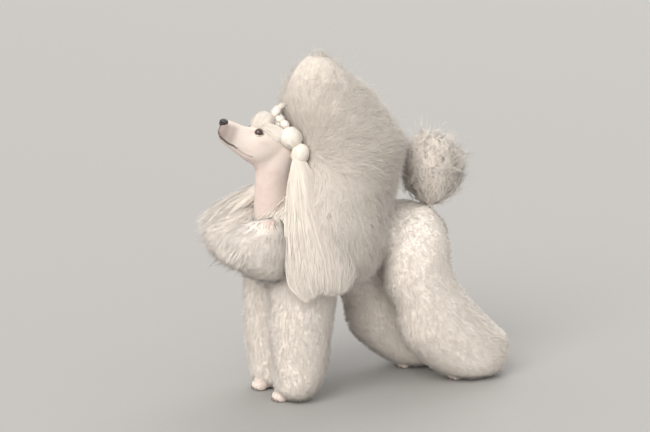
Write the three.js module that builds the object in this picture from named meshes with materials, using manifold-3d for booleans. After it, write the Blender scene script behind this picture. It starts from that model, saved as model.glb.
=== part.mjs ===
// A white standard poodle in show trim, standing with its head raised, at life size in millimetres.
// The dog faces -Y, its left side is +X and the floor is z = 0.
import * as THREE from 'three';
import { mergeVertices } from 'three/addons/utils/BufferGeometryUtils.js';
import Module from 'manifold-3d';

const wasm = await Module();
wasm.setup();

// Driving dimensions
const gap = 0.35; // kept between neighbouring pieces
const tipRoom = 8; // how far the tips of a coat may pass its outline
const puffRoom = 2; // the same for the puffs of the topknot
const hairClear = 3; // between the floor and the lowest hair
const headPitch = THREE.MathUtils.degToRad(21);
const eyeLine = new THREE.Vector3(0, -358, 868); // middle of the head, level with the eyes
const pawLength = 78;
const pawWidth = 60;
const pawRise = 54;
const rightForelegStep = -17; // the right legs stand further forward
const rightHindlegStep = -98;

// Ovals of the coat, level by level: [height, front, back, half width, side]
const foreleg = [
  [14, -305, -205, 56, 82],
  [40, -328, -184, 74, 85],
  [75, -334, -162, 82, 87],
  [120, -340, -150, 85, 88],
  [200, -349, -141, 86, 89],
  [300, -351, -126, 86, 89],
  [380, -350, -116, 82, 88],
  [430, -330, -130, 68, 80],
];
const hindleg = [
  [12, 300, 470, 58, 98],
  [30, 255, 496, 80, 98],
  [60, 210, 510, 92, 98],
  [97, 165, 515, 95, 98],
  [140, 123, 502, 96, 99],
  [185, 102, 452, 97, 99],
  [262, 87, 376, 94, 98],
  [330, 52, 322, 89, 96],
  [400, 44, 292, 84, 94],
  [465, 48, 290, 74, 88],
  [530, 88, 270, 50, 74],
];
const mane = [
  [346, -260, -19, 102, 0],
  [367, -338, 0, 158, 0],
  [400, -366, 42, 191, 0],
  [446, -380, 70, 212, 0],
  [502, -385, 88, 219, 0],
  [558, -378, 93, 219, 0],
  [604, -360, 102, 212, 0],
  [642, -330, 110, 206, 0],
  [688, -279, 126, 193, 0],
  [744, -244, 141, 179, 0],
  [809, -237, 160, 158, 0],
  [870, -244, 126, 140, 0],
  [930, -265, 79, 121, 0],
  [976, -272, 46, 104, 0],
  [1023, -251, 0, 86, 0],
  [1070, -228, -79, 63, 0],
  [1111, -177, -121, 30, 0],
];
const chest = [
  [418, -400, -300, 56, 92],
  [440, -440, -290, 80, 97],
  [475, -476, -285, 94, 102],
  [515, -492, -285, 98, 106],
  [555, -486, -290, 90, 106],
  [585, -452, -300, 68, 103],
  [606, -400, -310, 30, 100],
];
const ear = [
  [802, -272, -224, 13, 74],
  [760, -298, -205, 20, 92],
  [700, -312, -192, 24, 116],
  [640, -324, -186, 27, 142],
  [580, -332, -172, 30, 164],
  [520, -335, -146, 31, 182],
  [460, -332, -122, 30, 194],
  [410, -322, -125, 25, 199],
  [376, -300, -155, 13, 197],
].reverse();
const neck = [
  [560, -348, -240, 54, 0],
  [590, -364, -235, 57, 0],
  [640, -361, -235, 55, 0],
  [700, -357, -232, 54, 0],
  [750, -358, -222, 56, 0],
  [800, -352, -206, 56, 0],
  [840, -330, -206, 50, 0],
];
const pompon = [
  [590, 232, 300, 34, 0],
  [625, 190, 352, 78, 0],
  [670, 172, 370, 92, 0],
  [715, 163, 377, 98, 0],
  [760, 168, 366, 90, 0],
  [795, 196, 334, 66, 0],
  [814, 232, 286, 28, 0],
];
// Ovals of the body, one behind another: [Y, bottom, top, half width, side]
const torso = [
  [-19, 372, 604, 106, 0],
  [56, 381, 606, 108, 0],
  [126, 395, 609, 111, 0],
  [189, 409, 603, 112, 0],
  [242, 423, 584, 103, 0],
  [279, 446, 558, 82, 0],
  [302, 484, 525, 44, 0],
];
// Ovals of the head, from behind to the nose: [distance before the eyes, bottom, top, half width, side]
const head = [
  [-112, -58, 6, 26, 0],
  [-98, -82, 30, 45, 0],
  [-75, -95, 39, 54, 0],
  [-48, -102, 42, 57, 0],
  [-24, -103, 39, 55, 0],
  [-4, -98, 30, 49, 0],
  [12, -94, 14, 39, 0],
  [25, -90, 7, 33, 0],
  [44, -84, 5, 29, 0],
  [70, -77, 7, 26, 0],
  [90, -69, 9, 24, 0],
  [104, -60, 7, 21, 0],
  [113, -50, 1, 16, 0],
  [118, -40, -8, 9, 0],
];
// Line of the mouth: [distance before the eyes, height]
const mouth = [[117, -39], [112, -48], [98, -56], [78, -63], [62, -64], [50, -68]];
// Eyes, lids, lips and nose about the middle of the head, where forward is -Y
const eye = { side: 35, forward: 1, radius: 13 };
const lids = { wide: 3, long: 4, high: 1 }; // how far they pass the eye
const eyeOpening = { out: 16, forward: 2, up: 0.5, radii: [13, 13.5, 7] };
const lip = { above: 4.5, sunk: 2, radius: 4 };
const mouthLineRadius = 1.5;
const nosePad = { middle: [0, -115, -5], radii: [14, 12, 12] };
const nostril = { middle: [7, -125, -5], radii: [3.5, 5, 3] };
// Puffs of hair: middle and radii of a puff and of its core, ends of its locks, how far they arch
// out, and how many they are. The front and the crown are given about the middle of the head.
const frontPuff = {
  middle: [0, 2, 49], radii: [46, 31, 31], core: [0, 4, 40], coreRadii: [30, 18, 18],
  start: [0, 24, 26], end: [0, -30, 62], arch: [46, 30], locks: 7,
};
const crownPuff = {
  middle: [0, 52, 36], radii: [58, 36, 27], core: [0, 50, 28], coreRadii: [36, 24, 16],
  start: [0, -30, 58], end: [0, -90, 30], arch: [60, 30], locks: 7,
};
const templePuff = {
  middle: [54, -238, 866], radii: [31, 36, 36], core: [50, -238, 864], coreRadii: [19, 22, 22],
  start: [42, -62, 22], end: [54, -124, 62], arch: [32, 36], locks: 5,
};
const earPuff = {
  middle: [56, -206, 806], radii: [27, 31, 38], core: [54, -206, 806], coreRadii: [16, 18, 24],
  start: [50, -226, 838], end: [60, -196, 770], arch: [30, 30], locks: 5,
};
const sprayRoom = { middle: [0, 42, 74], radii: [15, 13, 34] };
const sprayLocks = {
  root: [-40, 48],
  bend: [-36, 76],
  tips: [[-10, -52, 92], [9, -46, 88], [-3, -36, 104], [5, -58, 84]],
  wide: 15,
  thick: 7,
  gathered: 0.3, // of the tips' distance to the side, at the roots
};
// Paws, behind their front line: toes in a shallow arc, and the pad
const toes = {
  steps: [-1.5, -0.5, 0.5, 1.5], apart: 14.5, behind: 18, curve: 5, rise: 15, radii: [9, 20, 16],
};
const pad = { behind: 0.55, rise: 20 };
const pawPlaces = {
  fore_left: [67, -334],
  fore_right: [-67, -334 + rightForelegStep],
  hind_left: [93, 287],
  hind_right: [-93, 287 + rightHindlegStep],
};
const tailRoot = new THREE.Vector3(0, 258, 520);
const tailTip = new THREE.Vector3(0, 266, 690);
const tailRadius = 14;
const collarFront = 586; // height of the chain under the throat and behind the neck
const collarBack = 640;
const collarRadius = 2.4;
const collarClear = 1.2;
const collarSpare = 13; // the chest and mane stay this far above and below the chain

// Locks of the long coat: width, length and thickness, levels of the first and last rows, rise in
// degrees from the rearward lie at those levels, share of the lie that runs rearward, the fewest in
// a row, and seed. Below its covered level the front of the mane is under the chest's coat.
const maneLocks = {
  wide: 72, long: 250, thick: 9, first: 402, last: 1010, rise: [-66, 80], sweep: 1, fewest: 6, seed: 3,
  coveredBelow: 640,
};
const chestLocks = {
  wide: 62, long: 130, thick: 6, first: 460, last: 590, rise: [-78, -60], sweep: -0.5, fewest: 6, seed: 5,
};
const earLocks = {
  wide: 60, long: 260, thick: 3, first: 520, last: 780, rise: [-90, -90], sweep: 0, fewest: 5, seed: 19,
};
// Rounded clumps of the scissored coat: rows, how many in a row, levels of the first and last rows,
// and seed
const forelegClumps = { rows: 4, around: 5, first: 50, last: 392, seed: 7 };
const hindlegClumps = { rows: 4, around: 6, first: 46, last: 476, seed: 11 };
const torsoClumps = { rows: 2, around: 5, first: 140, last: 250, seed: 13 };
const pomponClumps = { rows: 3, around: 5, first: 624, last: 784, seed: 17 };

const clumpReach = 0.5; // from a clump's middle to its edge, as a share of the way to the next clump
// Where locks and clumps lie between the middle line of a body and its outline
const lockShares = { root: 0.5, surface: 0.9, bend: 0.88, tip: 1 };
const clumpShares = { middle: 0.77, half: 0.25 };
// Unevenness of rows, clumps and locks, as shares of their spacing or size
const uneven = { turn: 0.1, level: 0.2, clump: 0.06, rise: 0.12, long: 0.15, tip: 0.02, wide: 0.06 };

const finish = (color, roughness, metalness = 0) => (
  new THREE.MeshStandardMaterial({ color, roughness, metalness }));
const coatWhite = finish(0xece4da, 0.95);
const clippedWhite = finish(0xe6d9d0, 0.85);
const noseBlack = finish(0x2a2624, 0.45);
const eyeBrown = finish(0x1e120b, 0.15);
const silver = finish(0xb9b9bd, 0.3, 1);

const dog = new THREE.Group();

// Joins, cuts and shows

function solid(geometry) {
  const bare = geometry.clone();
  for (const name of ['normal', 'uv']) bare.deleteAttribute(name);
  const merged = mergeVertices(bare, 1e-3);
  return new wasm.Manifold(new wasm.Mesh({
    numProp: 3,
    vertProperties: merged.attributes.position.array,
    triVerts: new Uint32Array(merged.index.array),
  }));
}

const join = (pieces) => wasm.Manifold.union(pieces);
const cut = (body, cutters) => body.subtract(join(cutters));

// The largest closed body of a cut or joined solid
function largest(made) {
  return made.decompose().reduce((best, body) => (body.volume() > best.volume() ? body : best));
}

function show(name, made, material) {
  const mesh = largest(made).getMesh();
  const geometry = new THREE.BufferGeometry();
  geometry.setAttribute('position', new THREE.BufferAttribute(mesh.vertProperties, 3));
  geometry.setIndex(new THREE.BufferAttribute(mesh.triVerts, 1));
  const piece = new THREE.Mesh(geometry, material);
  piece.name = name;
  dog.add(piece);
}

// A smooth body through ovals, as a function of a point on the unit circle and a share of the
// length. Lying bodies run along Y and the others stand along Z.
function ovals(stations, { lying = false, side = 1, shift = 0 } = {}) {
  const middles = new THREE.CatmullRomCurve3(stations.map(([level, low, high, , offset]) => (
    new THREE.Vector3(offset * side, (low + high) / 2, level))));
  const sizes = new THREE.CatmullRomCurve3(stations.map(([, low, high, halfWidth]) => (
    new THREE.Vector3(halfWidth, (high - low) / 2, 0))));
  return (x, z, along, share = 1, grow = 0) => {
    const middle = middles.getPoint(along);
    const size = sizes.getPoint(along);
    const across = x * (size.x * share + grow);
    const deep = z * (size.y * share + grow);
    const level = middle.z + grow * (2 * along - 1);
    return lying
      ? new THREE.Vector3(middle.x + across, level + shift, middle.y + deep)
      : new THREE.Vector3(middle.x + across, middle.y - deep + shift, level);
  };
}

// Share of a body's length at which it reaches a level
function alongOf(stations, level) {
  const next = stations.findIndex(([height]) => height > level);
  const [low, high] = [stations[next - 1][0], stations[next][0]];
  return (next - 1 + (level - low) / (high - low)) / (stations.length - 1);
}

// Levels just inside the two ends of a body
const endsOf = (stations) => [stations[0][0] + 1, stations.at(-1)[0] - 1];

// The closed skin of such a body, between two shares of its length
function body(shape, { sides = 16, steps = 10, share = () => 1, from = 0, to = 1, grow = 0 } = {}) {
  const geometry = new THREE.CylinderGeometry(1, 1, 1, sides, steps);
  const points = geometry.attributes.position;
  for (let i = 0; i < points.count; i += 1) {
    const along = from + (to - from) * (points.getY(i) + 0.5);
    const point = shape(points.getX(i), points.getZ(i), along, share(along), grow);
    points.setXYZ(i, point.x, point.y, point.z);
  }
  return solid(geometry);
}

function ball(middle, radii, grow = 0, sides = 12, rings = 8) {
  const geometry = new THREE.SphereGeometry(1, sides, rings);
  const size = radii.map((radius) => radius + grow);
  geometry.rotateX(Math.PI / 2).scale(...size).translate(...middle);
  return solid(geometry);
}

function box(x0, x1, y0, y1, z0, z1) {
  const geometry = new THREE.BoxGeometry(x1 - x0, y1 - y0, z1 - z0);
  geometry.translate((x0 + x1) / 2, (y0 + y1) / 2, (z0 + z1) / 2);
  return solid(geometry);
}

function tube(points, radius, steps, sides = 5) {
  const extrudePath = new THREE.CatmullRomCurve3(points);
  const circle = new THREE.Shape().absarc(0, 0, radius, 0, Math.PI * 2);
  return solid(new THREE.ExtrudeGeometry(circle, { extrudePath, steps, curveSegments: sides }));
}

// A flat lock with a ridge along it, through three points: widest at the second and pointed at the
// third
function lock(root, bend, tip, across, width, thick, base = 0.75) {
  const geometry = new THREE.ConeGeometry(1, 1, 3, 2);
  const points = geometry.attributes.position;
  const outs = [[root, bend], [root, tip], [bend, tip]].map(([from, to]) => (
    across.clone().cross(to.clone().sub(from)).normalize()));
  for (let i = 0; i < points.count; i += 1) {
    const [x, z] = [points.getX(i), points.getZ(i)];
    const ring = Math.round((points.getY(i) + 0.5) * 2);
    const rim = Math.hypot(x, z) > 1e-6 ? [base, 1, 0][ring] / Math.hypot(x, z) : 0;
    const point = [root, bend, tip][ring].clone()
      .addScaledVector(across, (x * rim * width) / Math.sqrt(3))
      .addScaledVector(outs[ring], z * rim * thick);
    points.setXYZ(i, point.x, point.y, point.z);
  }
  return solid(geometry);
}

// A seeded source of numbers from -1 to 1, whose first few are passed over
function draw(seed) {
  const modulus = 2147483647;
  const multiplier = 16807;
  let state = seed;
  const next = () => {
    state = (state * multiplier) % modulus;
    return (state / modulus) * 2 - 1;
  };
  for (let i = 0; i < 5; i += 1) next();
  return next;
}

const onCircle = (angle) => [Math.cos(angle), Math.sin(angle)];
const rimSides = 12; // chords that measure a row's length

// Places in staggered rows on a body, apart(level) being the spacing along a row and between rows
function places(shape, stations, { first, last, fewest, seed }, apart) {
  const random = draw(seed);
  const found = [];
  for (let [level, row] = [first, 0]; level <= last; row += 1) {
    const [onRow, toNext] = apart(level);
    const along = alongOf(stations, level);
    const rim = Array.from({ length: rimSides }, (_, k) => (
      shape(...onCircle((Math.PI * 2 * k) / rimSides), along, lockShares.surface)));
    const length = rim.reduce((sum, point, k) => sum + point.distanceTo(rim[(k + 1) % rimSides]), 0);
    const count = Math.max(fewest, Math.round(length / onRow));
    for (let k = 0; k < count; k += 1) {
      const angle = (Math.PI * 2 * (k + (row % 2) / 2 + uneven.turn * random())) / count;
      const height = THREE.MathUtils.clamp(level + uneven.level * toNext * random(), first, last);
      found.push({ angle, level: height, width: length / count, random });
    }
    level += toNext;
  }
  return found;
}

// Locks on a body: rooted in its core, bending over, with tips at its outline
function locksOn(shape, stations, spec) {
  const { first, last, wide, long, thick, sweep } = spec;
  const ends = endsOf(stations);
  const riseAt = (level) => (
    THREE.MathUtils.degToRad(THREE.MathUtils.mapLinear(level, first, last, ...spec.rise)));
  const spacing = (level) => {
    const lie = [Math.sin(riseAt(level)), Math.cos(riseAt(level)) * sweep];
    const size = [wide, long / 2];
    return [
      1 / Math.hypot(lie[0] / size[0], lie[1] / size[1]),
      1 / Math.hypot(lie[1] / size[0], lie[0] / size[1]),
    ];
  };
  const covered = ({ angle, level }) => level < spec.coveredBelow && Math.sin(angle) > 0.5;
  const lockAt = ({ angle, level, width, random }) => {
    const at = (turn, height, share) => (
      shape(...onCircle(turn), alongOf(stations, THREE.MathUtils.clamp(height, ...ends)), share));
    const radius = at(angle, level, 1).distanceTo(at(angle, level, 0));
    const rise = riseAt(level) + uneven.rise * random();
    const length = long * (1 + uneven.long * random());
    const turned = (-Math.cos(angle) * sweep * Math.cos(rise) * length) / radius;
    const climb = Math.sin(rise) * length;
    const root = at(angle, level, lockShares.root);
    const bend = at(angle + turned / 2, level + climb / 2, lockShares.bend);
    const tip = at(angle + turned, level + climb, lockShares.tip + uneven.tip * random());
    const surface = at(angle, level, lockShares.surface);
    const out = surface.clone().sub(root).normalize();
    const across = out.clone().cross(tip.clone().sub(surface)).normalize();
    if (across.clone().cross(tip.clone().sub(surface)).dot(out) < 0) across.negate();
    return lock(root, bend, tip, across, width * (1 + uneven.wide * random()), thick);
  };
  return places(shape, stations, spec, spacing).filter((place) => !covered(place)).map(lockAt);
}

// Rounded clumps set close on a body, bent round it, from within its core out to its outline
function clumpsOn(shape, stations, { rows, around, first, last, seed }) {
  const random = draw(seed);
  const ends = endsOf(stations);
  const rowStep = (last - first) / (rows - 1);
  const turnStep = (Math.PI * 2) / around;
  return Array.from({ length: rows * around }, (_, k) => {
    const row = Math.floor(k / around);
    const middle = turnStep * ((k % around) + (row % 2) / 2 + uneven.clump * random());
    const level = first + rowStep * (row + uneven.clump * random());
    const geometry = new THREE.IcosahedronGeometry(1, 0);
    geometry.rotateX(Math.atan((Math.sqrt(5) - 1) / 2)); // one of its corners points out
    const points = geometry.attributes.position;
    for (let i = 0; i < points.count; i += 1) {
      const angle = middle - points.getX(i) * turnStep * clumpReach;
      const height = THREE.MathUtils.clamp(level + points.getY(i) * rowStep * clumpReach, ...ends);
      const share = clumpShares.middle + points.getZ(i) * clumpShares.half;
      const point = shape(...onCircle(angle), alongOf(stations, height), share);
      points.setXYZ(i, point.x, point.y, point.z);
    }
    return solid(geometry);
  });
}

// Hair gathered at both ends: arched locks round the line between two points
const puffLock = { bend: 0.72, wide: 1.3, thick: 0.28, base: 0.12 };
function puffHair(start, end, { arch: [wide, high], locks }) {
  const axis = end.clone().sub(start).normalize();
  const rise = new THREE.Vector3(1, 0, 0).cross(axis).normalize();
  const middle = start.clone().lerp(end, 0.5);
  const step = Math.PI / locks;
  return Array.from({ length: locks }, (_, k) => {
    const [before, at, after] = [-1, 0, 1].map((half) => {
      const [z, x] = onCircle(step * (2 * k + half));
      return new THREE.Vector3(x * wide, 0, 0).addScaledVector(rise, z * high);
    });
    const bend = middle.clone().addScaledVector(at, puffLock.bend);
    const across = after.clone().sub(before).normalize();
    if (across.clone().cross(axis).dot(at) < 0) across.negate();
    const width = after.distanceTo(before) * puffLock.wide;
    return lock(start, bend, end, across, width, at.length() * puffLock.thick, puffLock.base);
  });
}

// Triples given for the left side, on either side
const sides = [1, -1];
const onSideOf = (side, [x, y, z]) => [side * x, y, z];

// A solid given about the middle of the head, set at its place and pitch. Forward is -Y there.
function onHead(made) {
  return made
    .rotate([-THREE.MathUtils.radToDeg(headPitch), 0, 0])
    .translate([eyeLine.x, eyeLine.y, eyeLine.z]);
}

const headPoint = (x, forward, up) => (
  new THREE.Vector3(x, -forward, up)
    .applyAxisAngle(new THREE.Vector3(1, 0, 0), -headPitch)
    .add(eyeLine));

// Head with lids, lips, the line of the mouth and nostrils
const headShape = ovals(head, { lying: true });
const headBody = (grow) => body(headShape, { sides: 16, steps: 13, grow }).mirror([0, 1, 0]);
const headSpace = onHead(headBody(gap));

// The place of the head's surface at a distance before the eyes and a height, moved out or in
function onCheek(side, [forward, up], out) {
  const along = alongOf(head, forward);
  const turns = 40;
  const angle = Array.from({ length: turns }, (_, k) => -Math.PI / 2 + (k / turns) * Math.PI)
    .find((turn) => headShape(0, Math.sin(turn), along).z >= up);
  const point = headShape(Math.cos(angle), Math.sin(angle), along, 1, out);
  return new THREE.Vector3(side * point.x, -forward, point.z);
}

const eyeSpot = (side) => [side * eye.side, -eye.forward, 0];
const eyeball = (side, grow) => ball(eyeSpot(side), [eye.radius, eye.radius, eye.radius], grow, 10, 7);
const lidsOf = (side) => (
  ball(eyeSpot(side), [lids.wide, lids.long, lids.high], eye.radius, 10, 7));
const openingOf = (side) => (
  ball([side * (eye.side + eyeOpening.out), -eyeOpening.forward, eyeOpening.up], eyeOpening.radii, 0, 10, 8));
const lipOf = (side) => tube(
  mouth.map(([forward, up]) => onCheek(side, [forward, up + lip.above], -lip.sunk)), lip.radius, 6, 4);
const mouthLineOf = (side) => tube(mouth.map((place) => onCheek(side, place, 0)), mouthLineRadius, 6, 3);
const padBody = (grow) => onHead(ball(nosePad.middle, nosePad.radii, grow, 10, 7));
const nostrilOf = (side) => onHead(ball(onSideOf(side, nostril.middle), nostril.radii, 0, 6, 4));

const skull = join([headBody(0), ...sides.map(lidsOf), ...sides.map(lipOf)]);
const carved = cut(skull, [
  ...sides.map((side) => eyeball(side, gap)),
  ...sides.map(openingOf),
  ...sides.map(mouthLineOf),
]);
show('head', cut(onHead(carved), [padBody(gap)]), clippedWhite);
show('nose', cut(padBody(0), sides.map(nostrilOf)), noseBlack);
show('eye_left', onHead(eyeball(1, 0)), eyeBrown);
show('eye_right', onHead(eyeball(-1, 0)), eyeBrown);

// Topknot, gathered in puffs over the brow and the crown, with a spray of ends between them
const frontSpace = (grow) => onHead(ball(frontPuff.middle, frontPuff.radii, grow));
const crownSpace = (grow) => onHead(ball(crownPuff.middle, crownPuff.radii, grow));
const spraySpace = (grow) => onHead(ball(sprayRoom.middle, sprayRoom.radii, grow, 10, 8));
const sideSpace = (side, grow) => join([templePuff, earPuff].map(({ middle, radii }) => (
  ball(onSideOf(side, middle), radii, grow))));
const puffSpaces = (grow) => join([
  frontSpace(grow), crownSpace(grow), spraySpace(grow), ...sides.map((side) => sideSpace(side, grow))]);
const clear = puffRoom + gap;

const puffCore = ({ core, coreRadii }, side = 1) => ball(onSideOf(side, core), coreRadii, 0, 6, 4);
const headPuff = (puff) => join([
  onHead(puffCore(puff)), ...puffHair(headPoint(...puff.start), headPoint(...puff.end), puff)]);
const spray = sprayLocks.tips.map((tip) => {
  const [x] = tip;
  const root = headPoint(x * sprayLocks.gathered, ...sprayLocks.root);
  const points = [root, headPoint(x, ...sprayLocks.bend), headPoint(...tip)];
  return lock(...points, new THREE.Vector3(1, 0, 0), sprayLocks.wide, sprayLocks.thick);
});
show('topknot_front', cut(headPuff(frontPuff).intersect(frontSpace(puffRoom)), [headSpace]), coatWhite);
show('topknot_spray', cut(
  join(spray).intersect(spraySpace(puffRoom)), [headSpace, frontSpace(clear), crownSpace(clear)],
), coatWhite);
show('topknot_crown', cut(
  headPuff(crownPuff).intersect(crownSpace(puffRoom)), [headSpace, frontSpace(clear)],
), coatWhite);
for (const [name, side] of [['left', 1], ['right', -1]]) {
  const [templeStart, templeEnd, earStart, earEnd] = [
    templePuff.start, templePuff.end, earPuff.start, earPuff.end].map((point) => onSideOf(side, point));
  const hair = join([
    ...[templePuff, earPuff].map((puff) => puffCore(puff, side)),
    ...puffHair(headPoint(...templeStart), headPoint(...templeEnd), templePuff),
    ...puffHair(new THREE.Vector3(...earStart), new THREE.Vector3(...earEnd), earPuff),
  ]);
  show(`puff_${name}`, cut(
    hair.intersect(sideSpace(side, puffRoom)), [headSpace, crownSpace(clear), frontSpace(clear)],
  ), coatWhite);
}

// Neck and collar
const neckShape = ovals(neck);
const neckBody = (grow) => body(neckShape, { sides: 14, steps: 5, grow });
const collarSpace = body(neckShape, {
  sides: 16,
  steps: 2,
  from: alongOf(neck, collarFront - collarSpare),
  to: alongOf(neck, collarBack + collarSpare),
  grow: 2 * (collarRadius + collarClear + gap),
});

function collarRing() {
  const thin = 0.1;
  const geometry = new THREE.TorusGeometry(1, thin, 5, 24);
  const points = geometry.attributes.position;
  for (let i = 0; i < points.count; i += 1) {
    const angle = Math.atan2(points.getY(i), points.getX(i));
    const round = (Math.hypot(points.getX(i), points.getY(i)) - 1) / thin;
    const rise = points.getZ(i) / thin;
    const level = THREE.MathUtils.mapLinear(-Math.sin(angle), -1, 1, collarBack, collarFront);
    const out = collarRadius + collarClear + round * collarRadius;
    const point = neckShape(Math.cos(angle), -Math.sin(angle), alongOf(neck, level), 1, out);
    points.setXYZ(i, point.x, point.y, level + rise * collarRadius);
  }
  return solid(geometry);
}
show('neck', cut(neckBody(0), [headSpace, puffSpaces(clear)]), clippedWhite);
show('collar', collarRing(), silver);

// Tail and paws
const tailBody = (grow) => tube([
  tailRoot, tailRoot.clone().lerp(tailTip, 0.3), tailRoot.clone().lerp(tailTip, 0.7), tailTip,
], tailRadius + grow, 3, 8);
show('tail', tailBody(0), clippedWhite);

function paw([x, y], grow) {
  const toeBalls = toes.steps.map((step) => {
    const behind = toes.behind + Math.abs(step) * toes.curve;
    return ball([x + step * toes.apart, y + behind, toes.rise], toes.radii, grow, 6, 4);
  });
  const length = pawLength * (1 - pad.behind);
  const padBall = ball(
    [x, y + pawLength * pad.behind, pad.rise], [pawWidth / 2, length, pawRise - pad.rise], grow, 8, 5);
  const aboveFloor = box(x - pawWidth, x + pawWidth, y - pawLength, y + 2 * pawLength, 0, 2 * pawRise);
  return join([padBall, ...toeBalls]).intersect(aboveFloor);
}
for (const [name, spot] of Object.entries(pawPlaces)) show(`paw_${name}`, paw(spot, 0), clippedWhite);

// Coat, each part with a core, locks and the room that its neighbours leave it
const room = (shape, grow) => body(shape, { sides: 12, steps: 7, grow: tipRoom + grow });
const far = 1300; // past the dog on every side
const halves = {
  left: box(gap / 2, far, -far, far, hairClear, far),
  right: box(-far, -gap / 2, -far, far, hairClear, far),
};
const shapes = {
  mane: ovals(mane),
  torso: ovals(torso, { lying: true }),
  pompon: ovals(pompon),
  chestLeft: ovals(chest),
  chestRight: ovals(chest, { side: -1 }),
  earLeft: ovals(ear),
  earRight: ovals(ear, { side: -1 }),
  forelegLeft: ovals(foreleg),
  forelegRight: ovals(foreleg, { side: -1, shift: rightForelegStep }),
  hindlegLeft: ovals(hindleg),
  hindlegRight: ovals(hindleg, { side: -1, shift: rightHindlegStep }),
};
const rooms = (names, grow) => names.map((name) => room(shapes[name], grow));

const maneCore = body(shapes.mane, {
  sides: 8, steps: 5, share: (along) => THREE.MathUtils.lerp(0.66, 0.5, along), from: 0.06, to: 0.93,
});
const neighbours = ['torso', 'pompon', 'chestLeft', 'chestRight', 'earLeft', 'earRight',
  'forelegLeft', 'forelegRight', 'hindlegLeft', 'hindlegRight'];
show('mane', cut(join([maneCore, ...locksOn(shapes.mane, mane, maneLocks)]), [
  headSpace, puffSpaces(clear), neckBody(gap), collarSpace, ...rooms(neighbours, gap),
]), coatWhite);

for (const [name, side] of [['Left', 1], ['Right', -1]]) {
  const place = name.toLowerCase();
  const chestShape = shapes[`chest${name}`];
  const chestCore = body(chestShape, { sides: 6, steps: 2, share: () => 0.55, from: 0.1, to: 0.9 });
  show(`chest_${place}`, cut(
    join([chestCore, ...locksOn(chestShape, chest, chestLocks)])
      .intersect(room(chestShape, 0)).intersect(halves[place]),
    [neckBody(gap), collarSpace, ...rooms([`ear${name}`], gap)],
  ), coatWhite);

  const earShape = shapes[`ear${name}`];
  const earCore = body(earShape, { sides: 6, steps: 2, share: () => 0.5, from: 0.1, to: 1 });
  show(`ear_${place}`, cut(
    join([earCore, ...locksOn(earShape, ear, earLocks)]).intersect(room(earShape, 0)),
    [headSpace, neckBody(gap), sideSpace(side, clear)],
  ), coatWhite);

  const foreShape = shapes[`foreleg${name}`];
  const foreCore = body(foreShape, { sides: 8, steps: 4, share: () => 0.66, from: 0.02 });
  show(`foreleg_${place}`, cut(
    join([foreCore, ...clumpsOn(foreShape, foreleg, forelegClumps)])
      .intersect(room(foreShape, 0)).intersect(halves[place]),
    [paw(pawPlaces[`fore_${place}`], gap), ...rooms([`chest${name}`, `ear${name}`], gap)],
  ), coatWhite);

  const hindShape = shapes[`hindleg${name}`];
  const hindCore = body(hindShape, { sides: 8, steps: 5, share: () => 0.66, from: 0.02 });
  show(`hindleg_${place}`, cut(
    join([hindCore, ...clumpsOn(hindShape, hindleg, hindlegClumps)])
      .intersect(room(hindShape, 0)).intersect(halves[place]),
    [paw(pawPlaces[`hind_${place}`], gap), ...rooms(['torso'], gap)],
  ), coatWhite);
}

const torsoCore = join([
  body(shapes.torso, { sides: 12, steps: 2, to: 2 / torso.length, grow: tipRoom - gap }),
  body(shapes.torso, { sides: 8, steps: 4, share: () => 0.66, from: 0.1 }),
]);
show('torso', cut(
  join([torsoCore, ...clumpsOn(shapes.torso, torso, torsoClumps)]).intersect(room(shapes.torso, 0)),
  [tailBody(gap)],
), coatWhite);

const pomponCore = body(shapes.pompon, { sides: 8, steps: 4, share: () => 0.64, from: 0.08, to: 0.92 });
show('pompon', cut(
  join([pomponCore, ...clumpsOn(shapes.pompon, pompon, pomponClumps)]).intersect(room(shapes.pompon, 0)),
  [tailBody(gap), ...rooms(['torso'], gap)],
), coatWhite);

// The origin is under the middle of the dog, on the floor
const bounds = new THREE.Box3().setFromObject(dog, true);
const middle = bounds.getCenter(new THREE.Vector3());
dog.position.set(-middle.x, -middle.y, -bounds.min.z);

export default dog;
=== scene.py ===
import math

import bpy
import numpy as np
from mathutils import Matrix, Vector


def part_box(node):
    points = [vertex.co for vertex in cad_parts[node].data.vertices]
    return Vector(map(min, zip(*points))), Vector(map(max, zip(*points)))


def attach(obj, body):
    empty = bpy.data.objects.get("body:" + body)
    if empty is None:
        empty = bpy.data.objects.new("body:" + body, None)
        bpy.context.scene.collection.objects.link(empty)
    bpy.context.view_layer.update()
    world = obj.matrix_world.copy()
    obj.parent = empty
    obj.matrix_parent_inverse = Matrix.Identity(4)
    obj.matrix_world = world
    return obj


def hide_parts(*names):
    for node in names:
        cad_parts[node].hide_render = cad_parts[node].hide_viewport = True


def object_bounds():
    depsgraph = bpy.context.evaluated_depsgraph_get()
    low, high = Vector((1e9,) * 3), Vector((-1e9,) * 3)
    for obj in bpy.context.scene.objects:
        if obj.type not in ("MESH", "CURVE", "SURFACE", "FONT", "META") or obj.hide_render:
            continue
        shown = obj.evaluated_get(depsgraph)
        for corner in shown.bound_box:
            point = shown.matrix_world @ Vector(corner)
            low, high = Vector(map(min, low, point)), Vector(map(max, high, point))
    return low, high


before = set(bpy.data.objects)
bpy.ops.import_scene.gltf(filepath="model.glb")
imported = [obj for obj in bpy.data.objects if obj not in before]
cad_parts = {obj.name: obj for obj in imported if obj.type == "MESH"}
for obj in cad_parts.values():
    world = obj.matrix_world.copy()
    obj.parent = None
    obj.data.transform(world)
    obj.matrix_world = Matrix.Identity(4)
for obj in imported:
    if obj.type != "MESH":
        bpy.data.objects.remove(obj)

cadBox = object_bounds()
mm = 0.001

# The solids stand on the middle of their outline; the tables below count from the dog's own middle.
headPitch = math.radians(21)
eyeLine = np.array([0, -358, 868]) * mm
eyeSide = 35 * mm
eyeForward = 1 * mm


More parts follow.
